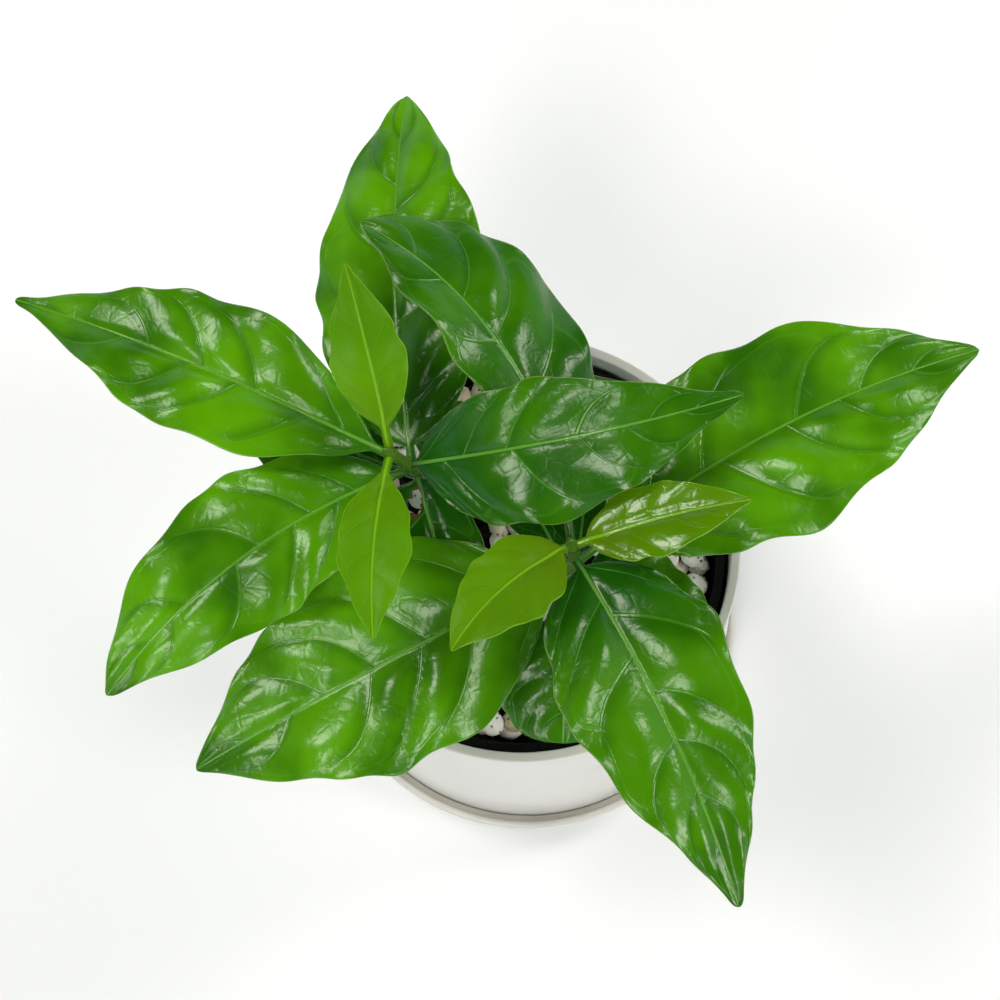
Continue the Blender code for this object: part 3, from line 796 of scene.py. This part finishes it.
def pebble_places(rng, first, last, left_out):
    """Centres in rings inside the nursery pot, each nudged a little."""
    for step in range(int(last - first) + 1):
        ring = first + step
        count = max(round(math.tau * ring), 1)
        turn = rng.uniform(0.0, math.tau)
        reach = ring * PEBBLE_SPACING
        for k in range(count):
            around = turn + math.tau * k / count
            x = reach * math.cos(around) + rng.uniform(-PEBBLE_NUDGE, PEBBLE_NUDGE)
            y = reach * math.sin(around) + rng.uniform(-PEBBLE_NUDGE, PEBBLE_NUDGE)
            if rng.random() >= left_out:
                yield x, y


def add_stone(bm, tone_layer, rng, place, radii, turn, tone, subdivisions):
    """One stone: a ball with a few worn flats, lumpy and a little tilted."""
    made = bmesh.ops.create_icosphere(bm, subdivisions=subdivisions, radius=1.0)["verts"]
    flats = []
    for _ in range(PEBBLE_FLATS):
        flat = Vector([rng.gauss(0, 1) for _ in range(3)]).normalized()
        flats.append((flat, rng.uniform(*PEBBLE_FLAT_REACH)))
    shift = Vector([rng.uniform(0, 50) for _ in range(3)])
    tilt = Matrix.Rotation(rng.uniform(-PEBBLE_TILT, PEBBLE_TILT), 4, "X")
    heading = Matrix.Rotation(turn, 4, "Z")
    for vert in made:
        point = vert.co * (1.0 + 0.10 * noise.noise(vert.co * 1.4 + shift))
        for flat, reach in flats:
            over = point.dot(flat) - reach
            if over > 0.0:
                point -= flat * over * PEBBLE_WEAR
        point = point * (1.0 + 0.02 * noise.noise(point * 6.0 + shift))
        point = Vector([part * radius for part, radius in zip(point, radii)])
        vert.co = heading @ (tilt @ point) + Vector(place)
        vert[tone_layer] = tone


def make_pebbles(settings, material):
    """All the pebbles in one piece, clear of the stems and the nursery pot's wall."""
    rng = random.Random(PEBBLE_SEED)
    bm = bmesh.new()
    tone_layer = bm.verts.layers.float.new("pebble_tone")
    bed = SOIL_TOP + GAP
    wall = nursery_inner_radius(bed) - PEBBLE_CLEARANCE
    stems = [stem_point(stem, bed) for stem in STEMS.values()]
    for height, first, last, left_out, subdivisions in PEBBLE_LAYERS:
        for x, y in pebble_places(rng, first, last, left_out):
            long = settings.pebble_length * rng.uniform(*PEBBLE_LONG)
            wide = long * rng.uniform(*PEBBLE_WIDE)
            tall = long * rng.uniform(*PEBBLE_TALL)
            for stem in stems:
                away = Vector((x - stem[0], y - stem[1], 0.0))
                clear = long + STEM_FOOT_RADIUS
                if away.length < clear:
                    moved = away.normalized() * clear
                    x, y = stem[0] + moved.x, stem[1] + moved.y
            reach = math.hypot(x, y)
            if reach > wall - long:
                x, y = x * (wall - long) / reach, y * (wall - long) / reach
            tone = rng.random() ** 1.5
            place = (x, y, bed + height + rng.uniform(*PEBBLE_RISE))
            turn = rng.uniform(0.0, math.pi)
            add_stone(bm, tone_layer, rng, place, (long, wide, tall), turn, tone, subdivisions)
    return finish_piece("pebble_dressing", bm, material, "pebbles")


def stem_point(stem, height):
    """Middle of the stem at a height."""
    foot = np.array(stem.foot)
    top = np.array(stem.top)
    share = (height - foot[2]) / (top[2] - foot[2])
    bow = np.array((*stem.bow, 0.0))
    return foot + (top - foot) * share + bow * math.sin(math.pi * min(share, 1.0))


def stem_radius(stem, height):
    """Radius of the stem, with a swelling at each pair of leaves and a bud at the top."""
    top = stem.top[2]
    share = within((height - stem.foot[2]) / (top - stem.foot[2]))
    radius = STEM_FOOT_RADIUS + (STEM_TOP_RADIUS - STEM_FOOT_RADIUS) * share
    swell = max(bell(height - node, NODE_SPREAD) for node in stem.nodes)
    radius += NODE_SWELL * swell * (1.0 - 0.5 * share)
    if height > top:
        above = (height - top) / BUD_LENGTH
        radius = max(BUD_RADIUS * math.sqrt(max(1.0 - above ** 1.5, 0.0)), TIP_RADIUS)
    return radius


def make_stem(stem, material):
    """A round stem with a ringed swelling at each pair of leaves, stipules and a closed bud."""
    bm = bmesh.new()
    low, top = stem.foot[2], stem.top[2]
    high = top + BUD_LENGTH
    for vert, (ring, k) in closed_tube(bm, STEM_RINGS, STEM_AROUND).items():
        height = low + (high - low) * ring / (STEM_RINGS - 1)
        radius = stem_radius(stem, height)
        radius += NODE_RIDGE * max(
            bell(height - node + NODE_RIDGE_DROP, NODE_RIDGE_SPREAD) for node in stem.nodes
        )
        angle = math.tau * k / STEM_AROUND
        x, y = math.cos(angle), math.sin(angle)
        flat = 1.0 - BUD_FLATNESS * smooth_step(max(height - top, 0.0) / BUD_LENGTH * 2.0)
        rough = 1.0 + 0.05 * noise.noise(Vector((x, y, height * 260)))
        out = Vector((x * radius, y * radius * flat, 0.0))
        vert.co = Vector(stem_point(stem, height)) + out * rough
    for node in stem.nodes:
        near = [leaf for leaf in LEAVES if abs(leaf.height - node) < PAIR_REACH]
        pair = [leaf for leaf in near if leaf.stem is stem]
        azimuth = math.radians(pair[0].azimuth + 90) if pair else 0.0
        for side in (0.0, math.pi):
            add_stipule(bm, stem, node, azimuth + side)
    face_outwards(bm)
    return finish_piece(f"{stem.name}_wood", bm, material, stem.name)


def add_stipule(bm, stem, node, azimuth):
    """A small triangular scale pressed to the stem between two petioles."""
    base, tip = STIPULE_RADII
    made = bmesh.ops.create_cone(
        bm, cap_ends=True, cap_tris=True, segments=8, radius1=base, radius2=tip,
        depth=STIPULE_LENGTH,
    )["verts"]
    radius = stem_radius(stem, node)
    out = Vector((math.cos(azimuth), math.sin(azimuth), 0.0))
    flatten = Matrix.Diagonal((STIPULE_THICKNESS, 1.0, 1.0, 1.0))
    turn = Matrix.Rotation(azimuth, 4, "Z")
    lean = Matrix.Rotation(STIPULE_LEAN, 4, "Y")
    place = Vector(stem_point(stem, node + STIPULE_RISE)) + out * (radius * STIPULE_SEAT)
    move = Matrix.Translation(place) @ turn @ lean @ flatten
    bmesh.ops.transform(bm, matrix=move, verts=made)


def half_width(share, widest, fullness):
    """Share of the greatest half width, from 0 at the blade's base to 1 at its widest place."""
    share = within(share)
    rising = (share / widest) ** (fullness * widest)
    falling = ((1.0 - share) / (1.0 - widest)) ** (fullness * (1.0 - widest))
    return rising * falling


def leaf_rib(leaf, steps=48):
    """Points along the leaf's rib, with its sideways and upward directions at each."""
    share = np.linspace(0.0, 1.0, steps + 1)
    middle = (share[1:] + share[:-1]) / 2

    def heading(at):
        azimuth = np.radians(leaf.azimuth + leaf.swing * at)
        slope = np.radians(leaf.rise + (leaf.droop - leaf.rise) * at)
        flat = np.stack([np.cos(azimuth), np.sin(azimuth), np.zeros_like(at)], axis=1)
        ahead = flat * np.cos(slope)[:, None] + np.outer(np.sin(slope), (0.0, 0.0, 1.0))
        return flat, ahead

    azimuth = math.radians(leaf.azimuth)
    away = stem_radius(leaf.stem, leaf.height) - STALK_INSET
    start = stem_point(leaf.stem, leaf.height)
    start = start + away * np.array((math.cos(azimuth), math.sin(azimuth), 0.0))
    _, ahead = heading(middle)
    reach = leaf.length + 2 * GAP
    points = start + np.vstack([np.zeros(3), np.cumsum(ahead, axis=0)]) * reach / steps
    flat, ahead = heading(share)
    level = np.stack([-flat[:, 1], flat[:, 0], flat[:, 2]], axis=1)
    upright = np.cross(ahead, level)
    roll = math.radians(leaf.roll)
    side = level * math.cos(roll) + upright * math.sin(roll)
    up = upright * math.cos(roll) - level * math.sin(roll)
    return share, points, side, up


def between(at, share, rows):
    """The row of vectors that belongs to a place between two steps."""
    return Vector([np.interp(at, share, rows[:, axis]) for axis in range(3)])


def vein_phase(blade, across, pairs, start, slim):
    """Whole at each side vein. The veins lean towards the tip and curve as they near the margin."""
    lean = slim * (VEIN_LEAN * across + VEIN_CURL * across ** 3)
    at = blade - lean
    return pairs * at + start + VEIN_UNEVEN * math.sin(math.tau * (1.6 * at + 3.0 * start))


def pillow(vein, far, side, shift):
    """Height between two side veins: none at the veins, and fullest nearer the one by the tip."""
    cell = math.floor(vein)
    share = vein - cell
    peak = 0.58 + 0.22 * noise.noise(Vector((cell * 3.7, far * 1.8, side)) + shift)
    part = share / peak if share < peak else (1.0 - share) / (1.0 - peak)
    full = 0.90 + 1.1 * noise.noise(Vector((cell * 2.3, 7.0 + far * 2.2, side)) + shift)
    return math.sin(0.5 * math.pi * part) * max(full, 0.25)


def tip_width(blade, leaf):
    """Half width that rounds off the blade's tip."""
    half = YOUNG_TIP_WIDTH if leaf.length < GROWN_LENGTH else TIP_WIDTH
    end = 2.0 * half / leaf.length
    inside = within((blade - 1.0 + end) / end, high=0.99)
    return half * smooth_step(blade / OPENING) * math.sqrt(1.0 - inside * inside)


def leaf_stations(leaf, rings):
    """What each ring needs: its share of leaf and blade, the rib's place, side and up, the stalk's
    radius, the blade's share of its width, how far it has opened, and the tip's width."""
    share, points, side_rows, up_rows = leaf_rib(leaf)
    petiole = leaf.petiole / leaf.length
    stations = []
    for ring in range(rings):
        even = ring / (rings - 1)
        eased = (1.0 - math.cos(math.pi * even)) / 2
        at = 0.55 * even + 0.45 * eased
        blade = max((at - petiole) / (1.0 - petiole), 0.0)
        stations.append((
            at,
            blade,
            between(at, share, points),
            between(at, share, side_rows),
            between(at, share, up_rows),
            PETIOLE_RADIUS + (TIP_RADIUS - PETIOLE_RADIUS) * blade,
            half_width(blade, leaf.widest, leaf.fullness),
            smooth_step(blade / OPENING),
            tip_width(blade, leaf),
        ))
    return stations


def make_leaf(leaf, settings, material):
    """A closed thin blade on a round stalk, quilted between its side veins."""
    grown = leaf.length > GROWN_LENGTH
    rings = GROWN_RINGS if grown else SMALL_RINGS
    columns = [-v for v in reversed(SIDE_COLUMNS)] + [0.0] + list(SIDE_COLUMNS)
    upper = len(columns)
    bm = bmesh.new()
    layers = bm.verts.layers
    for name in ("leaf_lines", "leaf_sides"):
        layers.float_vector.new(name)
    # A layer for the painted shade of the leaf
    shade_layer = layers.float.new("leaf_tint")
    lines, sides = (layers.float_vector[name] for name in ("leaf_lines", "leaf_sides"))
    places = closed_tube(bm, rings, 2 * upper)
    rng = random.Random(leaf.name)
    phases = (rng.random(), rng.random())
    pairs = settings.vein_pairs if grown else settings.vein_pairs - 0.7
    starts = (rng.uniform(0.0, 0.3), rng.uniform(0.3, 0.7))
    quilt = settings.quilt_depth * (1.0 if grown else 0.5)
    if leaf.young and leaf.name not in SHINY_YOUNG:
        quilt = settings.young_quilt
    halves = list(zip(phases, starts, (leaf.left, leaf.right)))
    shift = Vector([rng.uniform(0, 9) for _ in range(3)])
    arch = YOUNG_ARCH if leaf.young else ARCH
    stations = leaf_stations(leaf, rings)
    for vert, (ring, k) in places.items():
        at, blade, center, side, up, stalk, spread, opened, tip = stations[ring]
        on_top = k < upper
        v = columns[k if on_top else 2 * upper - 1 - k]
        far = abs(v)
        fold = math.radians(leaf.fold) * opened
        phase, start, widest = halves[0 if v > 0 else 1]
        ripple = 1.0 + RIPPLE * math.sin(math.tau * (RIPPLE_TURNS * blade + phase)) * opened
        width = math.hypot(widest * spread * ripple, stalk * (1.0 - opened) + tip)
        vein = vein_phase(blade, far, pairs, start, widest / (leaf.length - leaf.petiole))
        scallop = 1.0 - MARGIN_SCALLOP * math.cos(math.tau * vein) * opened * far
        out = width * far * scallop
        wave = math.sin(math.tau * (WAVE_TURNS * blade + 0.5 * phase)) * 4.0 * blade * (1 - blade)
        rise = out * math.sin(fold) + (leaf.wave * wave - arch * opened * width) * v * v
        middle = smooth_step(far / 0.22) * (1.0 - 0.60 * smooth_step((far - 0.65) / 0.35))
        puff = pillow(vein, far, math.copysign(0.5, v), shift) - QUILT_LEVEL
        rise += quilt * width * puff * middle * opened
        rise += leaf.wave * 0.4 * math.sin(math.tau * vein) * opened * far ** 5
        rise -= settings.rib_groove * bell(out, GROOVE_HALF) * opened * (1.0 - 0.6 * blade)
        place = center + side * math.copysign(out * math.cos(fold), v) + up * rise
        pucker = sum(noise.noise(place * scale + shift) * height for scale, height in PUCKERS)
        place += up * pucker * opened * min(far * 4.0, 1.0) * (YOUNG_PUCKER if leaf.young else 1.0)
        rounded = (BLADE_HALF + (stalk - BLADE_HALF) * math.sqrt(1.0 - v * v)) * (1.0 - opened)
        ridge = settings.rib_groove * RIDGE_SHARE * bell(out, RIDGE_HALF) * (1.0 - blade)
        keel = KEEL_DEPTH * bell(out, KEEL_HALF) * (1.0 - 0.85 * blade)
        keel += VEIN_KEEL * bell(vein - round(vein), VEIN_KEEL_SPREAD) * middle
        half = rounded + (BLADE_HALF + (ridge if on_top else keel)) * opened
        vert.co = place + up * (half if on_top else -half)
        rib_half = RIB_HALF * (1.0 - 0.60 * blade)
        vert[lines] = (out / rib_half, width * (1.0 - far) / MM + (1.0 - opened) * 2.0, vein)
        vert[sides] = (0.0 if on_top else 1.0, far, hole_distance(leaf, at, out, v))
        # Painted shade of this leaf, deeper towards its base
        vert[shade_layer] = leaf_tint(leaf, blade)
    if leaf.name == HOLED_LEAF:
        tear_hole(bm, sides)
    face_outwards(bm)
    return finish_piece(f"{leaf.name}_blade", bm, material, leaf.name)


def leaf_tint(leaf, blade):
    """Painted shade of a leaf at a station: its own shade, and more towards its base, which is partly
    painted shade and partly the base's own darker colour.
    """
    return leaf.shade + 0.55 * (1.0 - smooth_step(blade / 0.42))


def hole_distance(leaf, at, out, v):
    """Distance from the middle of the torn hole, in units of the hole's own size."""
    if leaf.name != HOLED_LEAF:
        return 9.0
    along = at * leaf.length - HOLE_ALONG * leaf.length
    aside = math.copysign(out, v) + HOLE_ASIDE
    turn = math.radians(HOLE_TURN)
    first = along * math.cos(turn) + aside * math.sin(turn)
    second = aside * math.cos(turn) - along * math.sin(turn)
    return math.hypot(first / (HOLE_LENGTH / 2), second / (HOLE_WIDTH / 2))


def tear_hole(bm, sides):
    """Opens the blade inside the hole's outline and joins its two faces round the rim."""
    inner = [
        face for face in bm.faces
        if sum(vert[sides].z for vert in face.verts) / len(face.verts) < 1.0
    ]
    bmesh.ops.delete(bm, geom=inner, context="FACES")
    rim = [edge for edge in bm.edges if edge.is_boundary]
    bmesh.ops.bridge_loops(bm, edges=rim)


def window_share(graph, toward, direction, half_width, half_height):
    """1 at the middle of a soft-edged window in a direction, falling to 0 at its outline."""
    away = Vector(direction).normalized()
    across = away.cross(Vector((0.0, 0.0, 1.0))).normalized()
    upward = across.cross(away)

    def along(axis, reach):
        made = graph.node(
            "ShaderNodeVectorMath", {0: toward, 1: tuple(axis / reach)}, operation="DOT_PRODUCT"
        )
        return made.outputs["Value"]

    first = along(across, math.sin(math.radians(half_width)))
    second = along(upward, math.sin(math.radians(half_height)))
    squares = graph.plus(graph.times(first, first), graph.times(second, second))
    ahead = graph.fade(along(away, 1.0), 0.3, 0.1)
    return graph.times(graph.fade(graph.math("SQRT", squares), 0.35, 1.0), ahead)


def make_room(settings):
    """A world of pale walls under a dark ceiling, with a few bright windows."""
    world = bpy.data.worlds.new("room")
    world.use_nodes = True
    graph = Graph(world.node_tree)
    toward = graph.node("ShaderNodeTexCoord").outputs["Generated"]
    _, _, upward = graph.parts(toward)
    walls = graph.fade(upward, 0.28, 0.62)
    color = graph.mix(walls, CEILING_COLOR, settings.wall_color)
    glow = 0.0
    for direction, half_width, half_height, strength in WINDOWS:
        share = window_share(graph, toward, direction, half_width, half_height)
        glow = graph.plus(glow, graph.times(share, strength))
    glow = graph.times(glow, settings.window_brightness)
    window = graph.mix(glow, (0.0, 0.0, 0.0), settings.window_color)
    window.node.clamp_factor = False
    graph.fill(world.node_tree.nodes["Background"], Strength=settings.room_brightness,
               Color=graph.mix(1.0, color, window, "ADD"))
    bpy.context.scene.world = world


def make_camera():
    """The camera, tilted from straight down and rolled about its own axis."""
    data = bpy.data.cameras.new("camera")
    data.lens = LENS
    data.sensor_width = SENSOR_WIDTH
    data.clip_start = 0.01
    data.clip_end = 20.0
    camera = link_object("camera", data)
    tilt = Matrix.Rotation(math.radians(CAMERA_TILT), 4, "X")
    roll = Matrix.Rotation(math.radians(CAMERA_ROLL), 4, "Z")
    camera.matrix_world = Matrix.Translation(CAMERA_PLACE) @ tilt @ roll
    bpy.context.scene.camera = camera


def make_floor(settings):
    """A plain pale floor."""
    material, graph = new_material("pale_floor")
    color = settings.floor_color
    cloud = graph.noise(5.0)
    graph.finish(
        Base_Color=graph.mix(cloud, color, tuple(0.97 * part for part in color)), Roughness=0.6
    )
    bm = bmesh.new()
    bmesh.ops.create_grid(bm, x_segments=1, y_segments=1, size=FLOOR_SIZE)
    floor = mesh_object("floor", bm, material)


def color_property(name, description, default):
    return bpy.props.FloatVectorProperty(
        name=name, description=description, default=default, subtype="COLOR", size=3, min=0.0,
        max=1.0,
    )


def number_property(name, description, default, least=0.0, most=1000.0, **kind):
    return bpy.props.FloatProperty(
        name=name, description=description, default=default, min=least, max=most, **kind
    )


def share_property(name, description, default, most=1.0):
    return number_property(name, description, default, most=most, subtype="FACTOR")


def length_property(name, description, default, least, most):
    return number_property(name, description, default, least, most, unit="LENGTH")


class CoffeePotSettings(bpy.types.PropertyGroup):
    """Finishes of the pots, the soil and the pebbles."""

    glaze_color: color_property("Glaze", "Colour of the cover pot and saucer", (0.66, 0.635, 0.58))
    glaze_roughness: share_property("Glaze roughness", "How dull the glaze is", 0.24)
    plastic_color: color_property("Plastic", "Colour of the nursery pot", (0.004, 0.004, 0.0045))
    soil_color: color_property("Soil", "Colour of the potting soil", (0.022, 0.015, 0.010))
    pebble_color: color_property("Pebbles", "Colour of the palest pebbles", (0.93, 0.90, 0.86))
    pebble_length: length_property("Pebble length", "Half the length of a pebble", 0.0027, 0.001,
                                   0.008)


class CoffeePlantSettings(bpy.types.PropertyGroup):
    """Sizes and colours of the stems and leaves."""

    mature_green: color_property("Mature green", "Lighter tone of a grown leaf",
                                 (0.105, 0.350, 0.0005))
    deep_green: color_property("Deep green", "Darker tone of a grown leaf",
                               (0.024, 0.125, 0.0003))
    young_green: color_property("Young green", "Colour of a young leaf", (0.100, 0.285, 0.0005))
    young_wood: color_property("Young wood", "Colour of the upper stem", (0.09, 0.22, 0.006))
    old_bark: color_property("Old bark", "Colour of the lower stem", (0.24, 0.16, 0.09))
    vein_pairs: number_property("Vein pairs", "Side veins on each half of a grown leaf", 5.5, 3.0,
                                14.0)
    quilt_depth: share_property(
        "Quilting", "Height of the blade between veins, as a share of its width", 0.060, 0.2
    )
    young_quilt: share_property("Young quilting", "The same for a young leaf", 0.020, 0.2)
    rib_groove: length_property("Rib groove", "Depth of the furrow that the rib lies in", 0.00035,
                                0.0, 0.002)


class CoffeeStageSettings(bpy.types.PropertyGroup):
    """Floor and room light."""

    floor_color: color_property("Floor", "Colour of the floor", (0.96, 0.96, 0.965))
    wall_color: color_property("Walls", "Colour of the light from low all round",
                               (0.50, 0.64, 0.70))
    window_color: color_property("Window light", "Colour of the windows", (1.0, 0.975, 0.93))
    window_brightness: number_property("Windows", "How bright the windows are beside the walls",
                                       12.6)
    room_brightness: number_property("Room light", "Strength of all the light", 1.15)


class COFFEE_OT_saucer(bpy.types.Operator):
    """Turn the saucer"""

    bl_idname = "coffee.saucer"
    bl_label = "Saucer"

    def execute(self, context):
        glaze = shared("off_white_glaze", glaze_material, context.scene.coffee_pots)
        finish_piece("glazed_saucer", turn_profile(saucer_profile(), False), glaze, "saucer")
        return {"FINISHED"}


class COFFEE_OT_cover_pot(bpy.types.Operator):
    """Turn the cover pot"""

    bl_idname = "coffee.cover_pot"
    bl_label = "Cover pot"

    def execute(self, context):
        glaze = shared("off_white_glaze", glaze_material, context.scene.coffee_pots)
        finish_piece("glazed_cover_pot", turn_profile(pot_profile(), True), glaze, "cover_pot")
        return {"FINISHED"}


class COFFEE_OT_nursery_pot(bpy.types.Operator):
    """Turn the black nursery pot"""

    bl_idname = "coffee.nursery_pot"
    bl_label = "Nursery pot"

    def execute(self, context):
        plastic = plastic_material(context.scene.coffee_pots)
        finish_piece("black_nursery_pot", turn_profile(nursery_profile(), True), plastic,
                     "nursery_pot")
        return {"FINISHED"}


class COFFEE_OT_soil(bpy.types.Operator):
    """Fill the nursery pot with soil"""

    bl_idname = "coffee.soil"
    bl_label = "Soil"

    def execute(self, context):
        make_soil(soil_material(context.scene.coffee_pots))
        return {"FINISHED"}


class COFFEE_OT_pebbles(bpy.types.Operator):
    """Dress the soil with pebbles"""

    bl_idname = "coffee.pebbles"
    bl_label = "Pebbles"

    def execute(self, context):
        settings = context.scene.coffee_pots
        make_pebbles(settings, pebble_material(settings))
        return {"FINISHED"}


class COFFEE_OT_stems(bpy.types.Operator):
    """Grow the two stems"""

    bl_idname = "coffee.stems"
    bl_label = "Stems"

    def execute(self, context):
        bark = stem_material(context.scene.coffee_plant)
        for stem in STEMS.values():
            make_stem(stem, bark)
        return {"FINISHED"}


class COFFEE_OT_mature_leaves(bpy.types.Operator):
    """Grow the mature leaves"""

    bl_idname = "coffee.mature_leaves"
    bl_label = "Mature leaves"

    def execute(self, context):
        settings = context.scene.coffee_plant
        colors = {**MATURE_COLORS, "light": settings.mature_green, "deep": settings.deep_green}
        skin = leaf_material("mature_leaf_skin", colors)
        for leaf in LEAVES:
            if not leaf.young:
                make_leaf(leaf, settings, skin)
        return {"FINISHED"}


class COFFEE_OT_young_leaves(bpy.types.Operator):
    """Grow the young leaves at the tops of the stems"""

    bl_idname = "coffee.young_leaves"
    bl_label = "Young leaves"

    def execute(self, context):
        settings = context.scene.coffee_plant
        colors = {**YOUNG_COLORS, "light": settings.young_green}
        soft = leaf_material("young_leaf_skin", colors)
        shiny = leaf_material("shiny_young_leaf_skin", colors)
        for leaf in LEAVES:
            if leaf.young:
                make_leaf(leaf, settings, shiny if leaf.name in SHINY_YOUNG else soft)
        return {"FINISHED"}


class COFFEE_OT_stage(bpy.types.Operator):
    """Set up the floor, the camera and the room's light"""

    bl_idname = "coffee.stage"
    bl_label = "Stage"

    def execute(self, context):
        settings = context.scene.coffee_stage
        make_floor(settings)
        make_camera()
        make_room(settings)
        context.scene.view_settings.view_transform = "Standard"
        return {"FINISHED"}


class COFFEE_PT_panel(bpy.types.Panel):
    """Lists the settings and the steps"""

    bl_label = "Potted Coffee Plant"
    bl_idname = "COFFEE_PT_panel"
    bl_space_type = "VIEW_3D"
    bl_region_type = "UI"
    bl_category = "Coffee Plant"

    def draw(self, context):
        layout = self.layout
        for place, group in SETTINGS:
            box = layout.box()
            for name in group.__annotations__:
                box.prop(getattr(context.scene, place), name)
        for operator in OPERATORS:
            layout.operator(operator.bl_idname)


SETTINGS = (
    ("coffee_pots", CoffeePotSettings),
    ("coffee_plant", CoffeePlantSettings),
    ("coffee_stage", CoffeeStageSettings),
)
OPERATORS = (
    COFFEE_OT_saucer,
    COFFEE_OT_cover_pot,
    COFFEE_OT_nursery_pot,
    COFFEE_OT_soil,
    COFFEE_OT_pebbles,
    COFFEE_OT_stems,
    COFFEE_OT_mature_leaves,
    COFFEE_OT_young_leaves,
    COFFEE_OT_stage,
)


def register():
    for name, group in SETTINGS:
        bpy.utils.register_class(group)
        setattr(bpy.types.Scene, name, bpy.props.PointerProperty(type=group))
    for operator in (*OPERATORS, COFFEE_PT_panel):
        bpy.utils.register_class(operator)


def unregister():
    for operator in (COFFEE_PT_panel, *reversed(OPERATORS)):
        bpy.utils.unregister_class(operator)
    for name, group in reversed(SETTINGS):
        delattr(bpy.types.Scene, name)
        bpy.utils.unregister_class(group)


def main():
    register()
    bpy.ops.coffee.saucer()
    bpy.ops.coffee.cover_pot()
    bpy.ops.coffee.nursery_pot()
    bpy.ops.coffee.soil()
    bpy.ops.coffee.pebbles()
    bpy.ops.coffee.stems()
    bpy.ops.coffee.mature_leaves()
    bpy.ops.coffee.young_leaves()
    bpy.ops.coffee.stage()
    bpy.context.view_layer.update()


if __name__ == "__main__":
    main()
